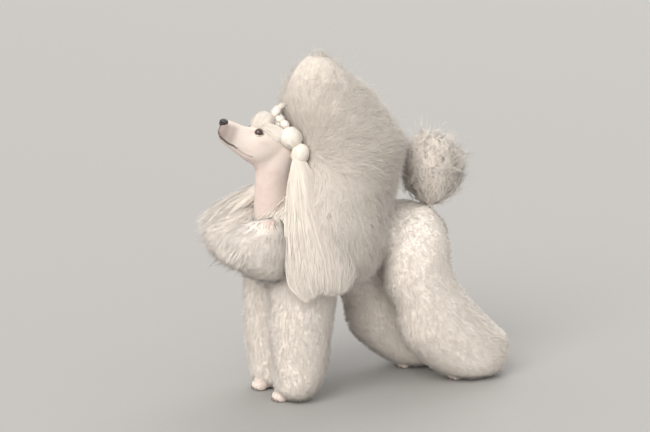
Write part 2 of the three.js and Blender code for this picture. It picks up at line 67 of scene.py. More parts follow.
def onHead(x, forward, up):
    # a point given in the head's own directions, in metres
    return eyeLine + np.array([
        x,
        -forward * math.cos(headPitch) + up * math.sin(headPitch),
        forward * math.sin(headPitch) + up * math.cos(headPitch),
    ])


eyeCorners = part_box("eye_left")
place = np.array((eyeCorners[0] + eyeCorners[1]) / 2) - onHead(eyeSide, eyeForward, 0)

# Ovals, level by level: height, front, back, half width, side (in millimetres)
foreleg = [
    [4, -280, -222, 34, 82], [14, -305, -205, 56, 82], [40, -328, -184, 74, 85],
    [75, -334, -162, 82, 87], [120, -340, -150, 85, 88], [200, -349, -141, 86, 89],
    [300, -351, -126, 86, 89], [380, -350, -116, 82, 88], [430, -330, -130, 68, 80],
]
hindleg = [
    [3, 340, 440, 36, 98], [12, 300, 470, 58, 98], [30, 255, 496, 80, 98],
    [60, 210, 510, 92, 98], [97, 165, 515, 95, 98], [140, 123, 502, 96, 99],
    [185, 102, 452, 97, 99], [262, 87, 376, 94, 98], [330, 52, 322, 89, 96],
    [400, 44, 292, 84, 94], [465, 48, 290, 74, 88], [502, 64, 284, 65, 81],
    [535, 86, 272, 53, 71], [564, 114, 258, 37, 58], [588, 148, 238, 18, 46],
]
mane = [
    [340, -230, -50, 70, 0], [346, -260, -19, 102, 0], [367, -338, 0, 158, 0],
    [400, -366, 42, 191, 0], [446, -380, 70, 212, 0], [502, -385, 88, 219, 0],
    [558, -378, 93, 219, 0], [604, -360, 102, 212, 0], [642, -330, 110, 206, 0],
    [688, -279, 126, 193, 0], [744, -244, 141, 179, 0], [809, -237, 160, 158, 0],
    [870, -244, 126, 140, 0], [930, -265, 79, 121, 0], [976, -272, 46, 104, 0],
    [1023, -248, -22, 86, 0], [1052, -228, -58, 68, 0], [1075, -207, -82, 54, 0],
    [1092, -186, -102, 38, 0], [1105, -170, -119, 24, 0], [1113, -156, -134, 10, 0],
]
chest = [
    [410, -385, -315, 36, 92], [418, -400, -300, 56, 92], [440, -440, -290, 80, 97],
    [475, -476, -285, 94, 102], [515, -492, -285, 98, 106], [555, -486, -290, 90, 106],
    [585, -452, -300, 68, 103], [606, -400, -310, 30, 100],
]
ear = [
    [370, -280, -175, 8, 197], [376, -300, -155, 13, 197], [410, -322, -125, 25, 199],
    [460, -332, -122, 30, 194], [520, -335, -146, 31, 182], [580, -332, -172, 30, 164],
    [640, -324, -186, 27, 142], [700, -312, -192, 24, 116], [760, -298, -205, 20, 92],
    [802, -272, -224, 13, 74],
]
neck = [
    [560, -348, -240, 54, 0], [590, -364, -235, 57, 0], [640, -361, -235, 55, 0],
    [700, -357, -232, 54, 0], [750, -358, -222, 56, 0], [800, -352, -206, 56, 0],
    [840, -330, -206, 50, 0],
]
pompon = [
    [586, 246, 286, 20, 0], [590, 232, 300, 34, 0], [625, 190, 352, 78, 0],
    [670, 172, 370, 92, 0], [715, 163, 377, 98, 0], [760, 168, 366, 90, 0],
    [795, 196, 334, 66, 0], [814, 232, 286, 28, 0],
]
tail = [[520, 244, 272, 14, 0], [600, 247, 275, 14, 0], [690, 252, 280, 13, 0]]
# Ovals of the trunk, one behind another: Y, bottom, top, half width, side
torso = [
    [-19, 372, 604, 106, 0], [56, 381, 606, 108, 0], [126, 395, 609, 111, 0],
    [189, 409, 603, 112, 0], [242, 423, 584, 103, 0], [279, 446, 558, 82, 0],
    [302, 484, 525, 44, 0],
]
# Ovals of the head: distance before the eyes, bottom, top, half width, side
head = [
    [-112, -58, 6, 26, 0], [-98, -82, 30, 45, 0], [-75, -95, 39, 54, 0],
    [-48, -102, 42, 57, 0], [-24, -103, 39, 55, 0], [-4, -98, 30, 49, 0],
    [12, -94, 14, 39, 0], [25, -90, 7, 33, 0], [44, -84, 5, 29, 0],
    [70, -77, 7, 26, 0], [90, -69, 9, 24, 0], [104, -60, 7, 21, 0],
    [113, -50, 1, 16, 0], [118, -40, -8, 9, 0],
]
mouth = [[117, -39], [112, -48], [98, -56], [78, -63], [62, -64], [50, -68]]
lipFold = [[50, -68], [30, -76], [8, -80], [-6, -79]]
rightForelegStep = -17
rightHindlegStep = -98


def outline(rows, lying=False, side=1, step=0):
    # a smooth body through ovals, as a function of an angle, a share of the length and a share
    # of the width; angle 0 is the left side and a quarter turn the front
    table = np.array(rows, float) * mm

    def at(angle, along, share=1.0):
        last = len(table) - 1
        spot = np.clip(along, 0, 1) * last
        low = np.minimum(spot.astype(int), last - 1)
        t = (spot - low)[..., None]
        before, here = table[np.maximum(low - 1, 0)], table[low]
        after, beyond = table[low + 1], table[np.minimum(low + 2, last)]
        row = 0.5 * (2 * here + (after - before) * t
                     + (2 * before - 5 * here + 4 * after - beyond) * t ** 2
                     + (3 * here - before - 3 * after + beyond) * t ** 3)
        level, near, far, half, offset = np.moveaxis(row, -1, 0)
        across = offset * side + np.cos(angle) * half * share
        if lying:
            height = (near + far) / 2 + np.sin(angle) * (far - near) / 2 * share
            return np.stack([across, level + step * mm, height], -1)
        depth = (near + far) / 2 - np.sin(angle) * (far - near) / 2 * share
        return np.stack([across, depth + step * mm, level], -1)

    def holds(points, share):
        level = points[:, 1] - step * mm if lying else points[:, 2]
        order = np.argsort(table[:, 0])
        near, far, half, offset = (np.interp(level, table[order, 0], table[order, k]) for k in range(1, 5))
        depth = points[:, 2] if lying else points[:, 1] - step * mm
        inside = (((points[:, 0] - offset * side) / half) ** 2
                  + ((depth - (near + far) / 2) / ((far - near) / 2)) ** 2) < share ** 2
        return inside & (level > table[:, 0].min()) & (level < table[:, 0].max())

    return at, holds


def unit(vectors):
    return vectors / np.maximum(np.linalg.norm(vectors, axis=-1, keepdims=True), 1e-9)


def onto(x, forward, up):
    # a direction given in the head's own directions
    return unit(onHead(x, forward, up) - eyeLine)


def headPlace(points):
    # points in the head's own directions: sideways, forward, up
    away = points - eyeLine
    return (away[:, 0], -away[:, 1] * math.cos(headPitch) + away[:, 2] * math.sin(headPitch),
            away[:, 1] * math.sin(headPitch) + away[:, 2] * math.cos(headPitch))


def ramp(values, low, high):
    t = np.clip((values - low) / (high - low), 0, 1)
    return t * t * (3 - 2 * t)


def hump(values, width):
    return np.exp(-(values / width) ** 2)


def around(values, spot, wide):
    # 1 at a place and falling off to both sides, in millimetres
    return hump(values - spot * mm, wide * mm)


def past(values, low, high):
    # from 0 to 1 between two places, in millimetres
    return ramp(values, low * mm, high * mm)


def smoothLine(stations, count):
    # evenly spread values on a smooth curve through the stations
    table = np.array(stations, float)
    last = len(table) - 1
    spot = np.linspace(0, last, count)
    low = np.minimum(spot.astype(int), last - 1)
    t = (spot - low).reshape(-1, *[1] * (table.ndim - 1))
    before, here = table[np.maximum(low - 1, 0)], table[low]
    after, beyond = table[low + 1], table[np.minimum(low + 2, last)]
    return 0.5 * (2 * here + (after - before) * t + (2 * before - 5 * here + 4 * after - beyond) * t ** 2
                  + (3 * here - before - 3 * after + beyond) * t ** 3)


bodies = {
    "mane": outline(mane),
    "torso": outline(torso, lying=True),
    "pompon": outline(pompon),
    "chestLeft": outline(chest),
    "chestRight": outline(chest, side=-1),
    "earLeft": outline(ear),
    "earRight": outline(ear, side=-1),
    "forelegLeft": outline(foreleg),
    "forelegRight": outline(foreleg, side=-1, step=rightForelegStep),
    "hindlegLeft": outline(hindleg),
    "hindlegRight": outline(hindleg, side=-1, step=rightHindlegStep),
}

# Stage

cameraSettings = {
    "spot": (4524.85, -2133.17, 1629.34), "aim": (-128.9, -61.2, 546.5), "lens": 86.99, "sensor": 36,
    "far": 100,
}
lightSettings = [
    {"name": "key", "spot": (2.4, -3.2, 3.6), "spread": 40, "power": 2.25, "colour": (1.0, 0.955, 0.90)},
    {"name": "back", "spot": (-2.4, 2.2, 3.4), "spread": 50, "power": 1.0, "colour": (1.0, 0.98, 0.95)},
    {"name": "fill", "spot": (3.8, -2.4, 0.7), "spread": 80, "power": 1.0, "colour": (1.0, 0.96, 0.92)},
]
stageSettings = {
    "floorColour": (0.36, 0.355, 0.347), "floorSize": 80, "skyColour": (1.0, 0.985, 0.97),
    "skyStrength": 0.85, "lampAim": (0, 0, 0.5),
}


def aimAt(item, target):
    item.rotation_mode = "QUATERNION"
    item.rotation_quaternion = (Vector(target) - item.location).to_track_quat("-Z", "Y")


bpy.ops.object.select_all(action="DESELECT")
bpy.ops.object.camera_add(location=Vector(cameraSettings["spot"]) * mm + Vector(place))
camera = bpy.context.object
aimAt(camera, Vector(cameraSettings["aim"]) * mm + Vector(place))
camera.data.lens = cameraSettings["lens"]
camera.data.sensor_width = cameraSettings["sensor"]
camera.data.clip_end = cameraSettings["far"]
bpy.context.scene.camera = camera

for light in lightSettings:
    bpy.ops.object.light_add(type="SUN", location=light["spot"])
    lamp = bpy.context.object
    lamp.name = light["name"]
    lamp.data.angle = math.radians(light["spread"])
    lamp.data.energy = light["power"]
    lamp.data.color = light["colour"]
    aimAt(lamp, stageSettings["lampAim"])

world = bpy.data.worlds.new("softSky")
world.use_nodes = True
world.node_tree.nodes["Background"].inputs["Color"].default_value = (*stageSettings["skyColour"], 1)
world.node_tree.nodes["Background"].inputs["Strength"].default_value = stageSettings["skyStrength"]
bpy.context.scene.world = world
bpy.context.scene.view_settings.view_transform = "Standard"

bpy.ops.mesh.primitive_grid_add(x_subdivisions=8, y_subdivisions=8, size=stageSettings["floorSize"])
floor = bpy.context.object
floor.name = "floor"
print("stage ready")

# Materials


def socket(group, name, kind, inward, value=None):
    made = group.interface.new_socket(name=name, in_out="INPUT" if inward else "OUTPUT", socket_type=kind)
    if value is not None:
        made.default_value = value


def wired(tree, kind, values=None, links=None, **settings):
    # a node with its settings, its fixed values and what feeds it
    node = tree.nodes.new(kind)
    for key, value in settings.items():
        setattr(node, key, value)
    for key, value in (values or {}).items():
        node.inputs[key].default_value = value
    for key, source in (links or {}).items():
        tree.links.new(source, node.inputs[key])
    return node


def mixed(tree, factor, low, high):
    # one colour over another; each may be a socket or a fixed colour
    node = wired(tree, "ShaderNodeMix", data_type="RGBA")
    for key, value in (("Factor", factor), ("A", low), ("B", high)):
        target = [one for one in node.inputs if one.name == key and one.enabled][0]
        if isinstance(value, bpy.types.NodeSocket):
            tree.links.new(value, target)
        else:
            target.default_value = (*value, 1) if key != "Factor" else value
    return [one for one in node.outputs if one.enabled][0]


def spread(tree, source, low, high, toLow=0.0, toHigh=1.0):
    return wired(tree, "ShaderNodeMapRange",
                 {"From Min": low, "From Max": high, "To Min": toLow, "To Max": toHigh},
                 {"Value": source}).outputs["Result"]


def noise(tree, scale, detail=2.0, distortion=0.0):
    # cloudy values that stay in their place on the object
    return wired(tree, "ShaderNodeTexNoise", {"Scale": scale, "Detail": detail, "Distortion": distortion},
                 {"Vector": tree.nodes.new("ShaderNodeTexCoord").outputs["Object"]}).outputs["Fac"]


furSettings = {
    "cloudDetail": 3.0, "growth": 0.7, "cloud": (0.3, 0.75), "cloudShare": 0.25, "strand": (0.93, 1.04),
}


def furGroup():
    # uneven warmth of a coat: broad patches, fine strands, and roots darker than tips, the roots' darkness
    # being painted shade deep in the coat
    group = bpy.data.node_groups.new("furTint", "ShaderNodeTree")
    for name in ("Tip", "Root", "Patch"):
        socket(group, name, "NodeSocketColor", True)
    for name, value in (("Grown", 1.0), ("Strand", 0.5), ("Patch Mask", 0.0), ("Patch Scale", 9.0)):
        socket(group, name, "NodeSocketFloat", True, value)
    socket(group, "Color", "NodeSocketColor", False)
    given = group.nodes.new("NodeGroupInput").outputs
    cloud = wired(group, "ShaderNodeTexNoise", {"Detail": furSettings["cloudDetail"]},
                  {"Vector": group.nodes.new("ShaderNodeTexCoord").outputs["Object"],
                   "Scale": given["Patch Scale"]})
    cloudy = spread(group, cloud.outputs["Fac"], *furSettings["cloud"], 0.0, furSettings["cloudShare"])
    depth = wired(group, "ShaderNodeMath", {1: furSettings["growth"]}, {0: given["Grown"]}, operation="POWER")
    grown = mixed(group, depth.outputs[0], given["Root"], given["Tip"])
    uneven = mixed(group, cloudy, grown, given["Root"])
    marked = mixed(group, given["Patch Mask"], uneven, given["Patch"])
    lit = wired(group, "ShaderNodeHueSaturation", None,
                {"Color": marked, "Value": spread(group, given["Strand"], 0.0, 1.0, *furSettings["strand"])})
    group.links.new(lit.outputs["Color"], group.nodes.new("NodeGroupOutput").inputs["Color"])
    return group


furTint = furGroup()


def material(name, roughness, colour=(0.8, 0.8, 0.8), **values):
    made = bpy.data.materials.new(name)
    made.use_nodes = True
    shader = made.node_tree.nodes["Principled BSDF"]
    shader.inputs["Base Color"].default_value = (*colour, 1)
    shader.inputs["Roughness"].default_value = roughness
    for key, value in values.items():
        shader.inputs[key.replace("_", " ")].default_value = value
    return made


def attribute(made, name):
    return wired(made.node_tree, "ShaderNodeAttribute", attribute_name=name).outputs["Fac"]


def feed(made, name, source):
    # what drives an input of the material's shader
    made.node_tree.links.new(source, made.node_tree.nodes["Principled BSDF"].inputs[name])


def bumped(made, height, strength, distance):
    # gives the material small heights and hollows
    bump = wired(made.node_tree, "ShaderNodeBump", {"Strength": strength, "Distance": distance},
                 {"Height": height})
    feed(made, "Normal", bump.outputs["Normal"])


# each root colour is darker than its tip: painted shade deep in the coat
coatColours = {
    "white": {"tip": (0.92, 0.855, 0.785), "root": (0.87, 0.80, 0.725)},
    "cream": {"tip": (0.90, 0.835, 0.76), "root": (0.83, 0.76, 0.68)},
    # grey for the mane's back and crest: partly the coat's own tone, partly painted shade
    "grey": {"tip": (0.765, 0.705, 0.635), "root": (0.67, 0.61, 0.545)},
}
woolGrain = {"scale": 160.0, "detail": 4.0, "distortion": 1.5, "strength": 0.8, "high": 0.004}


def furMaterial(name, colour, patch, patchScale=9.0, roughness=0.7):
    made = material(name, roughness, Sheen_Weight=0.2, Sheen_Roughness=0.5, Specular_IOR_Level=0.2)
    tint = wired(made.node_tree, "ShaderNodeGroup", node_tree=furTint)
    for key, value in (("Tip", coatColours[colour]["tip"]), ("Root", coatColours[colour]["root"]),
                       ("Patch", coatColours[patch]["tip"])):
        tint.inputs[key].default_value = (*value, 1)
    tint.inputs["Patch Scale"].default_value = patchScale
    for key, source in (("Grown", "grown"), ("Strand", "strand"), ("Patch Mask", "mark")):
        made.node_tree.links.new(attribute(made, source), tint.inputs[key])
    feed(made, "Base Color", tint.outputs["Color"])
    return made


legCoat = furMaterial("legCoat", "white", "cream")
# the mane's grey is partly its own tone and partly painted shade
maneCoat = furMaterial("maneCoat", "grey", "cream", 7.0)
earCoat = furMaterial("earCoat", "cream", "white", 8.0, 0.55)
underCoat = furMaterial("underCoat", "grey", "white")
grain = noise(underCoat.node_tree, woolGrain["scale"], woolGrain["detail"], woolGrain["distortion"])
bumped(underCoat, grain, woolGrain["strength"], woolGrain["high"])

skinSettings = {
    "pale": (0.72, 0.65, 0.595), "flushed": (0.60, 0.47, 0.425), "brown": (0.185, 0.135, 0.118),
    "line": (0.035, 0.026, 0.024), "cloudScale": 26.0, "cloud": (0.35, 0.7), "flush": (0.55, 1.2),
    "speckScale": 700.0, "speck": (0.3, 0.7), "speckLight": (0.9, 1.08), "pores": 0.35, "poreDepth": 0.0012,
}


def skinMaterial():
    # clipped white hair over pink skin, greyish brown at the lips and round the nose
    made = material("clippedSkin", 0.62, Sheen_Weight=0.15, Sheen_Roughness=0.5, Specular_IOR_Level=0.25)
    tree = made.node_tree
    cloud = noise(tree, skinSettings["cloudScale"], 4.0)
    fine = noise(tree, skinSettings["speckScale"], 3.0)
    flush = wired(tree, "ShaderNodeMath", None,
                  {0: spread(tree, cloud, *skinSettings["cloud"], *skinSettings["flush"]),
                   1: attribute(made, "pink")}, operation="MULTIPLY", use_clamp=True)
    pink = mixed(tree, flush.outputs[0], skinSettings["pale"], skinSettings["flushed"])
    brown = mixed(tree, attribute(made, "grey"), pink, skinSettings["brown"])
    dark = mixed(tree, attribute(made, "line"), brown, skinSettings["line"])
    speck = spread(tree, fine, *skinSettings["speck"], *skinSettings["speckLight"])
    lit = wired(tree, "ShaderNodeHueSaturation", None, {"Color": dark, "Value": speck})
    feed(made, "Base Color", lit.outputs["Color"])
    bumped(made, fine, skinSettings["pores"], skinSettings["poreDepth"])
    return made


clippedSkin = skinMaterial()
floor.data.materials.append(material("floorPaint", 0.9, stageSettings["floorColour"]))
print("materials ready")

# Skin


def limb(name, rows, lying=False, side=1, step=0, share=1.0, sides=20):
    # rings extruded one from the next
    rings = [[row[0] + (step if lying else 0), (row[1] + row[2]) / 2 + (0 if lying else step),
              abs(row[2] - row[1]) / 2 * share, row[3] * share, row[4] * side] for row in rows]
    level, middle, deep, half, offset = (value * mm for value in rings[0])
    turn = (math.pi / 2, 0, 0) if lying else (0, 0, 0)
    spot = (offset, level, middle) if lying else (offset, middle, level)
    bpy.ops.mesh.primitive_circle_add(vertices=sides, radius=1, fill_type="NGON", location=spot,
                                      rotation=turn)
    made = bpy.context.object
    made.name = name
    bpy.ops.object.transform_apply(location=True, rotation=True, scale=False)
    bpy.ops.object.mode_set(mode="EDIT")
    bpy.ops.mesh.select_all(action="SELECT")
    size = (half, 1, deep) if lying else (half, deep, 1)
    bpy.ops.transform.resize(value=size, center_override=spot)
    for ring in rings[1:]:
        nextLevel, nextMiddle, nextDeep, nextHalf, nextOffset = (value * mm for value in ring)
        nextSpot = (nextOffset, nextLevel, nextMiddle) if lying else (nextOffset, nextMiddle, nextLevel)
        move = tuple(b - a for a, b in zip(spot, nextSpot))
        bpy.ops.mesh.extrude_region_move(TRANSFORM_OT_translate={"value": move})
        ratio = (nextHalf / half, 1, nextDeep / deep) if lying else (nextHalf / half, nextDeep / deep, 1)
        bpy.ops.transform.resize(value=ratio, center_override=nextSpot)
        spot, half, deep = nextSpot, nextHalf, nextDeep
    bpy.ops.mesh.select_all(action="SELECT")
    bpy.ops.mesh.normals_make_consistent(inside=False)
    bpy.ops.object.mode_set(mode="OBJECT")
    return made


def select(*items):
    bpy.ops.object.select_all(action="DESELECT")
    for item in items:
        item.select_set(True)
    bpy.context.view_layer.objects.active = items[0]


def joined(name, items):
    select(*items)
    bpy.ops.object.join()
    made = bpy.context.object
    made.name = name
    return made


def applied(item, kind, **values):
    select(item)
    bpy.ops.object.modifier_add(type=kind)
    modifier = item.modifiers[-1]
    for key, value in values.items():
        setattr(modifier, key, value)
    bpy.ops.object.modifier_apply(modifier=modifier.name)


def remeshed(item, voxel, rounds):
    # one closed surface of even faces (in millimetres), smoothed
    applied(item, "REMESH", mode="VOXEL", voxel_size=voxel * mm)
    applied(item, "SMOOTH", factor=0.5, iterations=rounds)


def ball(name, spot, size, segments=20, rings=12, turn=0):
    bpy.ops.mesh.primitive_uv_sphere_add(segments=segments, ring_count=rings, radius=1,
                                         location=tuple(spot))
    made = bpy.context.object
    made.name = name
    made.scale = size
    made.rotation_euler = (turn, 0, 0)
    bpy.ops.object.transform_apply(location=True, rotation=True, scale=True)
    return made


def vertexValues(item, name, width=3):
    found = np.empty(len(item.data.vertices) * width)
    item.data.vertices.foreach_get(name, found)
    return found.reshape(-1, width)


def setCoordinates(item, points):
    item.data.vertices.foreach_set("co", points.ravel())
    item.data.update()


def painted(item, name, values):
    item.data.attributes.new(name, "FLOAT", "POINT").data.foreach_set("value", np.asarray(values, float))


# Parts of the coat's width that the skin fills, and the grain of the skin's meshes
coreShares = {"trunk": 0.86, "shoulders": 0.62, "tail": 0.5, "leg": 0.64, "chest": 0.6, "ear": 0.55}
meshGrain = {
    "trunk": {"voxel": 11.5, "rounds": 4}, "feet": {"voxel": 2.4, "rounds": 5},
    "faceBase": {"voxel": 4, "rounds": 30}, "face": {"voxel": 1.9, "rounds": 6},
    "wool": {"voxel": 10.5, "rounds": 3},
}
trunkParts = [
    limb("trunk", torso, lying=True, share=coreShares["trunk"]),
    limb("shoulders", mane[2:-3], share=coreShares["shoulders"]),
    limb("tail", tail),
    limb("tailCoat", pompon[1:], share=coreShares["tail"]),
]
for side, foreStep, hindStep in ((1, 0, 0), (-1, rightForelegStep, rightHindlegStep)):
    trunkParts += [
        limb("foreleg", foreleg[1:], side=side, step=foreStep, share=coreShares["leg"]),
        limb("hindleg", hindleg[1:], side=side, step=hindStep, share=coreShares["leg"]),
        limb("chest", chest[1:], side=side, share=coreShares["chest"]),
        limb("ear", ear[1:], side=side, share=coreShares["ear"]),
    ]
trunk = joined("skin", trunkParts)
remeshed(trunk, **meshGrain["trunk"])
print("trunk", len(trunk.data.polygons))

# Toes count from the middle of the paw. Rows of a claw: share of its length, bottom, top, half width
pawSettings = {
    "places": {"foreLeft": (67, -334), "foreRight": (-67, -351),
               "hindLeft": (93, 287), "hindRight": (-93, 189)},
    "toes": (-1.5, -0.5, 0.5, 1.5), "toeGap": 14.2, "toeArc": 6, "toeSpot": (18, 14.2),
    "toeSize": (8.0, 19, 13.4), "knuckleSpot": (13, 8), "knuckleSize": (7.4, 12, 10), "padSpot": (44, 29.6),
    "padSize": (29, 35, 29),
    "clawSpot": 5, "clawLong": 9,
    "clawRows": [(0, 6, 12.5, 3.2), (0.4, 4.6, 11.6, 2.9), (0.78, 2.2, 8.4, 2.0), (1, 1.2, 3.8, 0.8)],
}
hornColours = {"dark": (0.10, 0.08, 0.07), "light": (0.30, 0.25, 0.21), "scale": 220.0}


def sized(name):
    return [value * mm for value in pawSettings[name]]


def paw(name, x, y):
    # four arched toes in front of the foot
    padBack, padHigh = sized("padSpot")
    toeBack, toeHigh = sized("toeSpot")
    knuckleBack, knuckleUp = sized("knuckleSpot")
    parts = [ball(name, (x * mm, y * mm + padBack, padHigh), sized("padSize"))]
    for toe in pawSettings["toes"]:
        across = (x + toe * pawSettings["toeGap"]) * mm
        front = y * mm + toeBack + abs(toe) * pawSettings["toeArc"] * mm
        parts.append(ball(name, (across, front, toeHigh), sized("toeSize")))
        parts.append(ball(name, (across, front + knuckleBack, toeHigh + knuckleUp), sized("knuckleSize")))
    return parts


def clawsOf(x, y):
    # dark curved claws under the tips of the toes
    made = []
    for toe in pawSettings["toes"]:
        front = y + pawSettings["clawSpot"] + abs(toe) * pawSettings["toeArc"]
        across = x + toe * pawSettings["toeGap"]
        claw = limb("claw", [[front - back * pawSettings["clawLong"], low, high, half, across]
                             for back, low, high, half in pawSettings["clawRows"]], lying=True, sides=10)
        applied(claw, "SUBSURF", levels=1, render_levels=1)
        made.append(claw)
    return made


feet = joined("feet", [part for name, spot in pawSettings["places"].items() for part in paw(name, *spot)])
remeshed(feet, **meshGrain["feet"])
print("feet", len(feet.data.polygons))

claws = joined("claws", [claw for spot in pawSettings["places"].values() for claw in clawsOf(*spot)])
horn = material("clawHorn", 0.35, Specular_IOR_Level=0.5)
feed(horn, "Base Color", mixed(horn.node_tree, noise(horn.node_tree, hornColours["scale"]),
                               hornColours["dark"], hornColours["light"]))
claws.data.materials.append(horn)
bpy.ops.object.shade_smooth()

# Head and neck

# Pairs are a place and a size, or a start and an end, in millimetres; the lids' shares count the opening
faceSettings = {
    "lipGroove": 2.6, "grooveWide": 1.9, "lipRise": 1.3, "lipRidge": (4.8, 3.4), "lowerShare": 0.55,
    "mouthEnd": (38, 52), "foldDepth": 0.9, "foldWide": 2.2, "foldRidge": (5, 3), "ridgeShare": 0.8,
    "foldSide": 12, "lipSplit": 1.4, "splitWide": 1.2, "splitFrom": (106, 112), "splitBelow": (12, 18),
    "stopDip": 1.6, "stopSpot": (22, 12), "stopWide": 14, "stopLowest": -10, "eyeDepth": (12, 30),
}
# What fills the throat under the jaw, in metres
gulletSettings = {"spot": (0, -0.058, -0.072), "size": (0.043, 0.040, 0.046)}
eyeForms = {
    "innerHollow": {"move": -3.5, "ahead": (16, 11), "above": (-4, 10)},
    "brow": {"move": 2.2, "ahead": (-2, 16), "above": (13.5, 6)},
    "cheekbone": {"move": 2.5, "ahead": (-18, 24), "above": (-21, 9)},
}
eyeSettings = {
    "radius": 14.2, "inward": 2.8, "outward": (0.84, 0.53, 0.10), "halfLong": 13.0, "upper": 3.4,
    "lower": 2.4, "tilt": 3, "pointed": 0.8, "skew": 0.18, "lid": 1.3, "rim": 1.0, "rimOut": 0.35,
    "rimWide": 1.1, "rimAside": 0.45, "iris": 13.0, "cornea": 0.022, "corneaWide": 0.5,
}
lidSettings = {
    "nearest": 0.2, "reach": 6, "edgeRise": 0.9, "edgeSpot": 1.25, "edgeWide": 0.35, "crease": 0.9,
    "creaseSpot": (4.2, 1.2), "behind": 3.5,
}

headRows = [[-row[0], row[1], row[2], row[3], row[4]] for row in head]
skull = limb("skull", headRows, lying=True, sides=32)
applied(skull, "SUBSURF", levels=2, render_levels=2)
skullPoints = vertexValues(skull, "co")
setCoordinates(skull, eyeLine + np.stack([
    skullPoints[:, 0],
    skullPoints[:, 1] * math.cos(headPitch) + skullPoints[:, 2] * math.sin(headPitch),
    -skullPoints[:, 1] * math.sin(headPitch) + skullPoints[:, 2] * math.cos(headPitch),
], -1))
throat = limb("throat", neck, sides=32)
applied(throat, "SUBSURF", levels=2, render_levels=2)
gullet = ball("gullet", onHead(*gulletSettings["spot"]), gulletSettings["size"], 32, 20)
face = joined("face", [skull, throat, gullet])
remeshed(face, **meshGrain["faceBase"])
remeshed(face, **meshGrain["face"])
print("face", len(face.data.polygons))


def mouthDistance(forward, up, rows=mouth):
    # how far a point lies from the line of the mouth, and on which side
    line = np.array(rows) * mm
    best, above = np.full(len(forward), 9.0), np.zeros(len(forward))
    spot = np.stack([forward, up], -1)
    for start, end in zip(line[:-1], line[1:]):
        t = np.clip(((spot - start) @ (end - start)) / ((end - start) @ (end - start)), 0, 1)
        away = spot - start - t[:, None] * (end - start)
        length = np.linalg.norm(away, axis=-1)
        nearer = length < best
        best = np.where(nearer, length, best)
        above = np.where(nearer, np.sign(away[:, 1] * 0.95 + away[:, 0] * 0.3), above)
    return best, above


def eyeFrame(side):
    # middle of an eyeball and its own directions: towards the nose, up the lids, out of the head
    across, ahead, up = eyeSettings["outward"]
    outward = onto(side * across, ahead, up)
    middle = onHead(side * eyeSide, eyeForward, 0) - outward * eyeSettings["inward"] * mm
    forward = unit(np.cross(outward, onto(0, 0, 1)) * side)
    forward *= 1 if np.dot(forward, onto(0, 1, 0)) > 0 else -1
    tilt = math.radians(eyeSettings["tilt"])
    above = unit(onto(0, 0, 1) - outward * np.dot(onto(0, 0, 1), outward))
    long = forward * math.cos(tilt) - above * math.sin(tilt)
    return middle, long, unit(above * math.cos(tilt) + forward * math.sin(tilt)), outward


def lidHeight(share, upper):
    # half height of the opening along its length, pointed at both corners
    high = np.where(upper, eyeSettings["upper"], eyeSettings["lower"]) * mm
    return high * np.clip(1 - share ** 2, 0, 1) ** eyeSettings["pointed"] * (1 - eyeSettings["skew"] * share)


def eyeDistance(points, side):
    # a point in the eye's own directions, and 1 where it stands on the edge of the lids
    middle, long, high, outward = eyeFrame(side)
    away = points - middle
    a, b, c = away @ long, away @ high, away @ outward
    share = a / (eyeSettings["halfLong"] * mm)
    edge = np.abs(b) / np.maximum(lidHeight(share, b > 0), 1e-5)
    return a, b, c, np.where(np.abs(share) < 1, edge, 9.0)


def sculpted(points, normals):
    # lips, the folds behind them and the bones round the eyes
    x, forward, up = headPlace(points)
    away, above = mouthDistance(forward, up)
    fold, _ = mouthDistance(forward, up, lipFold)
    fadeBack = past(forward, *faceSettings["mouthEnd"])
    lower = np.where(above > 0, 1.0, faceSettings["lowerShare"])
    move = -faceSettings["lipGroove"] * around(away, 0, faceSettings["grooveWide"]) * fadeBack
    move += faceSettings["lipRise"] * around(away, *faceSettings["lipRidge"]) * fadeBack * lower
    ridge = faceSettings["ridgeShare"] * around(fold, *faceSettings["foldRidge"])
    crease = ridge - around(fold, 0, faceSettings["foldWide"])
    move += faceSettings["foldDepth"] * crease * (np.abs(x) > faceSettings["foldSide"] * mm)
    move -= (faceSettings["lipSplit"] * around(x, 0, faceSettings["splitWide"])
             * past(forward, *faceSettings["splitFrom"]) * past(-up, *faceSettings["splitBelow"]))
    for side in (1, -1):
        a, b, c, _ = eyeDistance(points, side)
        for form in eyeForms.values():
            move += (form["move"] * around(a, *form["ahead"]) * around(b, *form["above"])
                     * around(c, *faceSettings["eyeDepth"]))
    move -= (faceSettings["stopDip"] * around(forward, *faceSettings["stopSpot"])
             * around(x, 0, faceSettings["stopWide"]) * (up > faceSettings["stopLowest"] * mm))
    return points + normals * (move * mm)[:, None]


def lidded(points):
    # the lids close over the eyeball and leave the almond between them open
    for side in (1, -1):
        middle, _, _, _ = eyeFrame(side)
        a, b, c, edge = eyeDistance(points, side)
        away = points - middle
        radius = np.linalg.norm(away, axis=-1)
        ballSize = eyeSettings["radius"] * mm
        skinSize = ballSize + eyeSettings["lid"] * mm
        nearEye = (c > lidSettings["nearest"] * ballSize) & (radius < skinSize + lidSettings["reach"] * mm)
        swell = lidSettings["edgeRise"] * mm * hump(edge - lidSettings["edgeSpot"], lidSettings["edgeWide"])
        overLid = b - lidHeight(a / (eyeSettings["halfLong"] * mm), True)
        crease = lidSettings["crease"] * mm * around(overLid, *lidSettings["creaseSpot"])
        closed = np.maximum(radius, skinSize + swell) - crease
        size = np.where(edge < 1, ballSize - lidSettings["behind"] * mm, closed)
        points = np.where(nearEye[:, None], middle + away * (size / radius)[:, None], points)
    return points


setCoordinates(face, sculpted(vertexValues(face, "co"), vertexValues(face, "normal")))
setCoordinates(face, lidded(vertexValues(face, "co")))


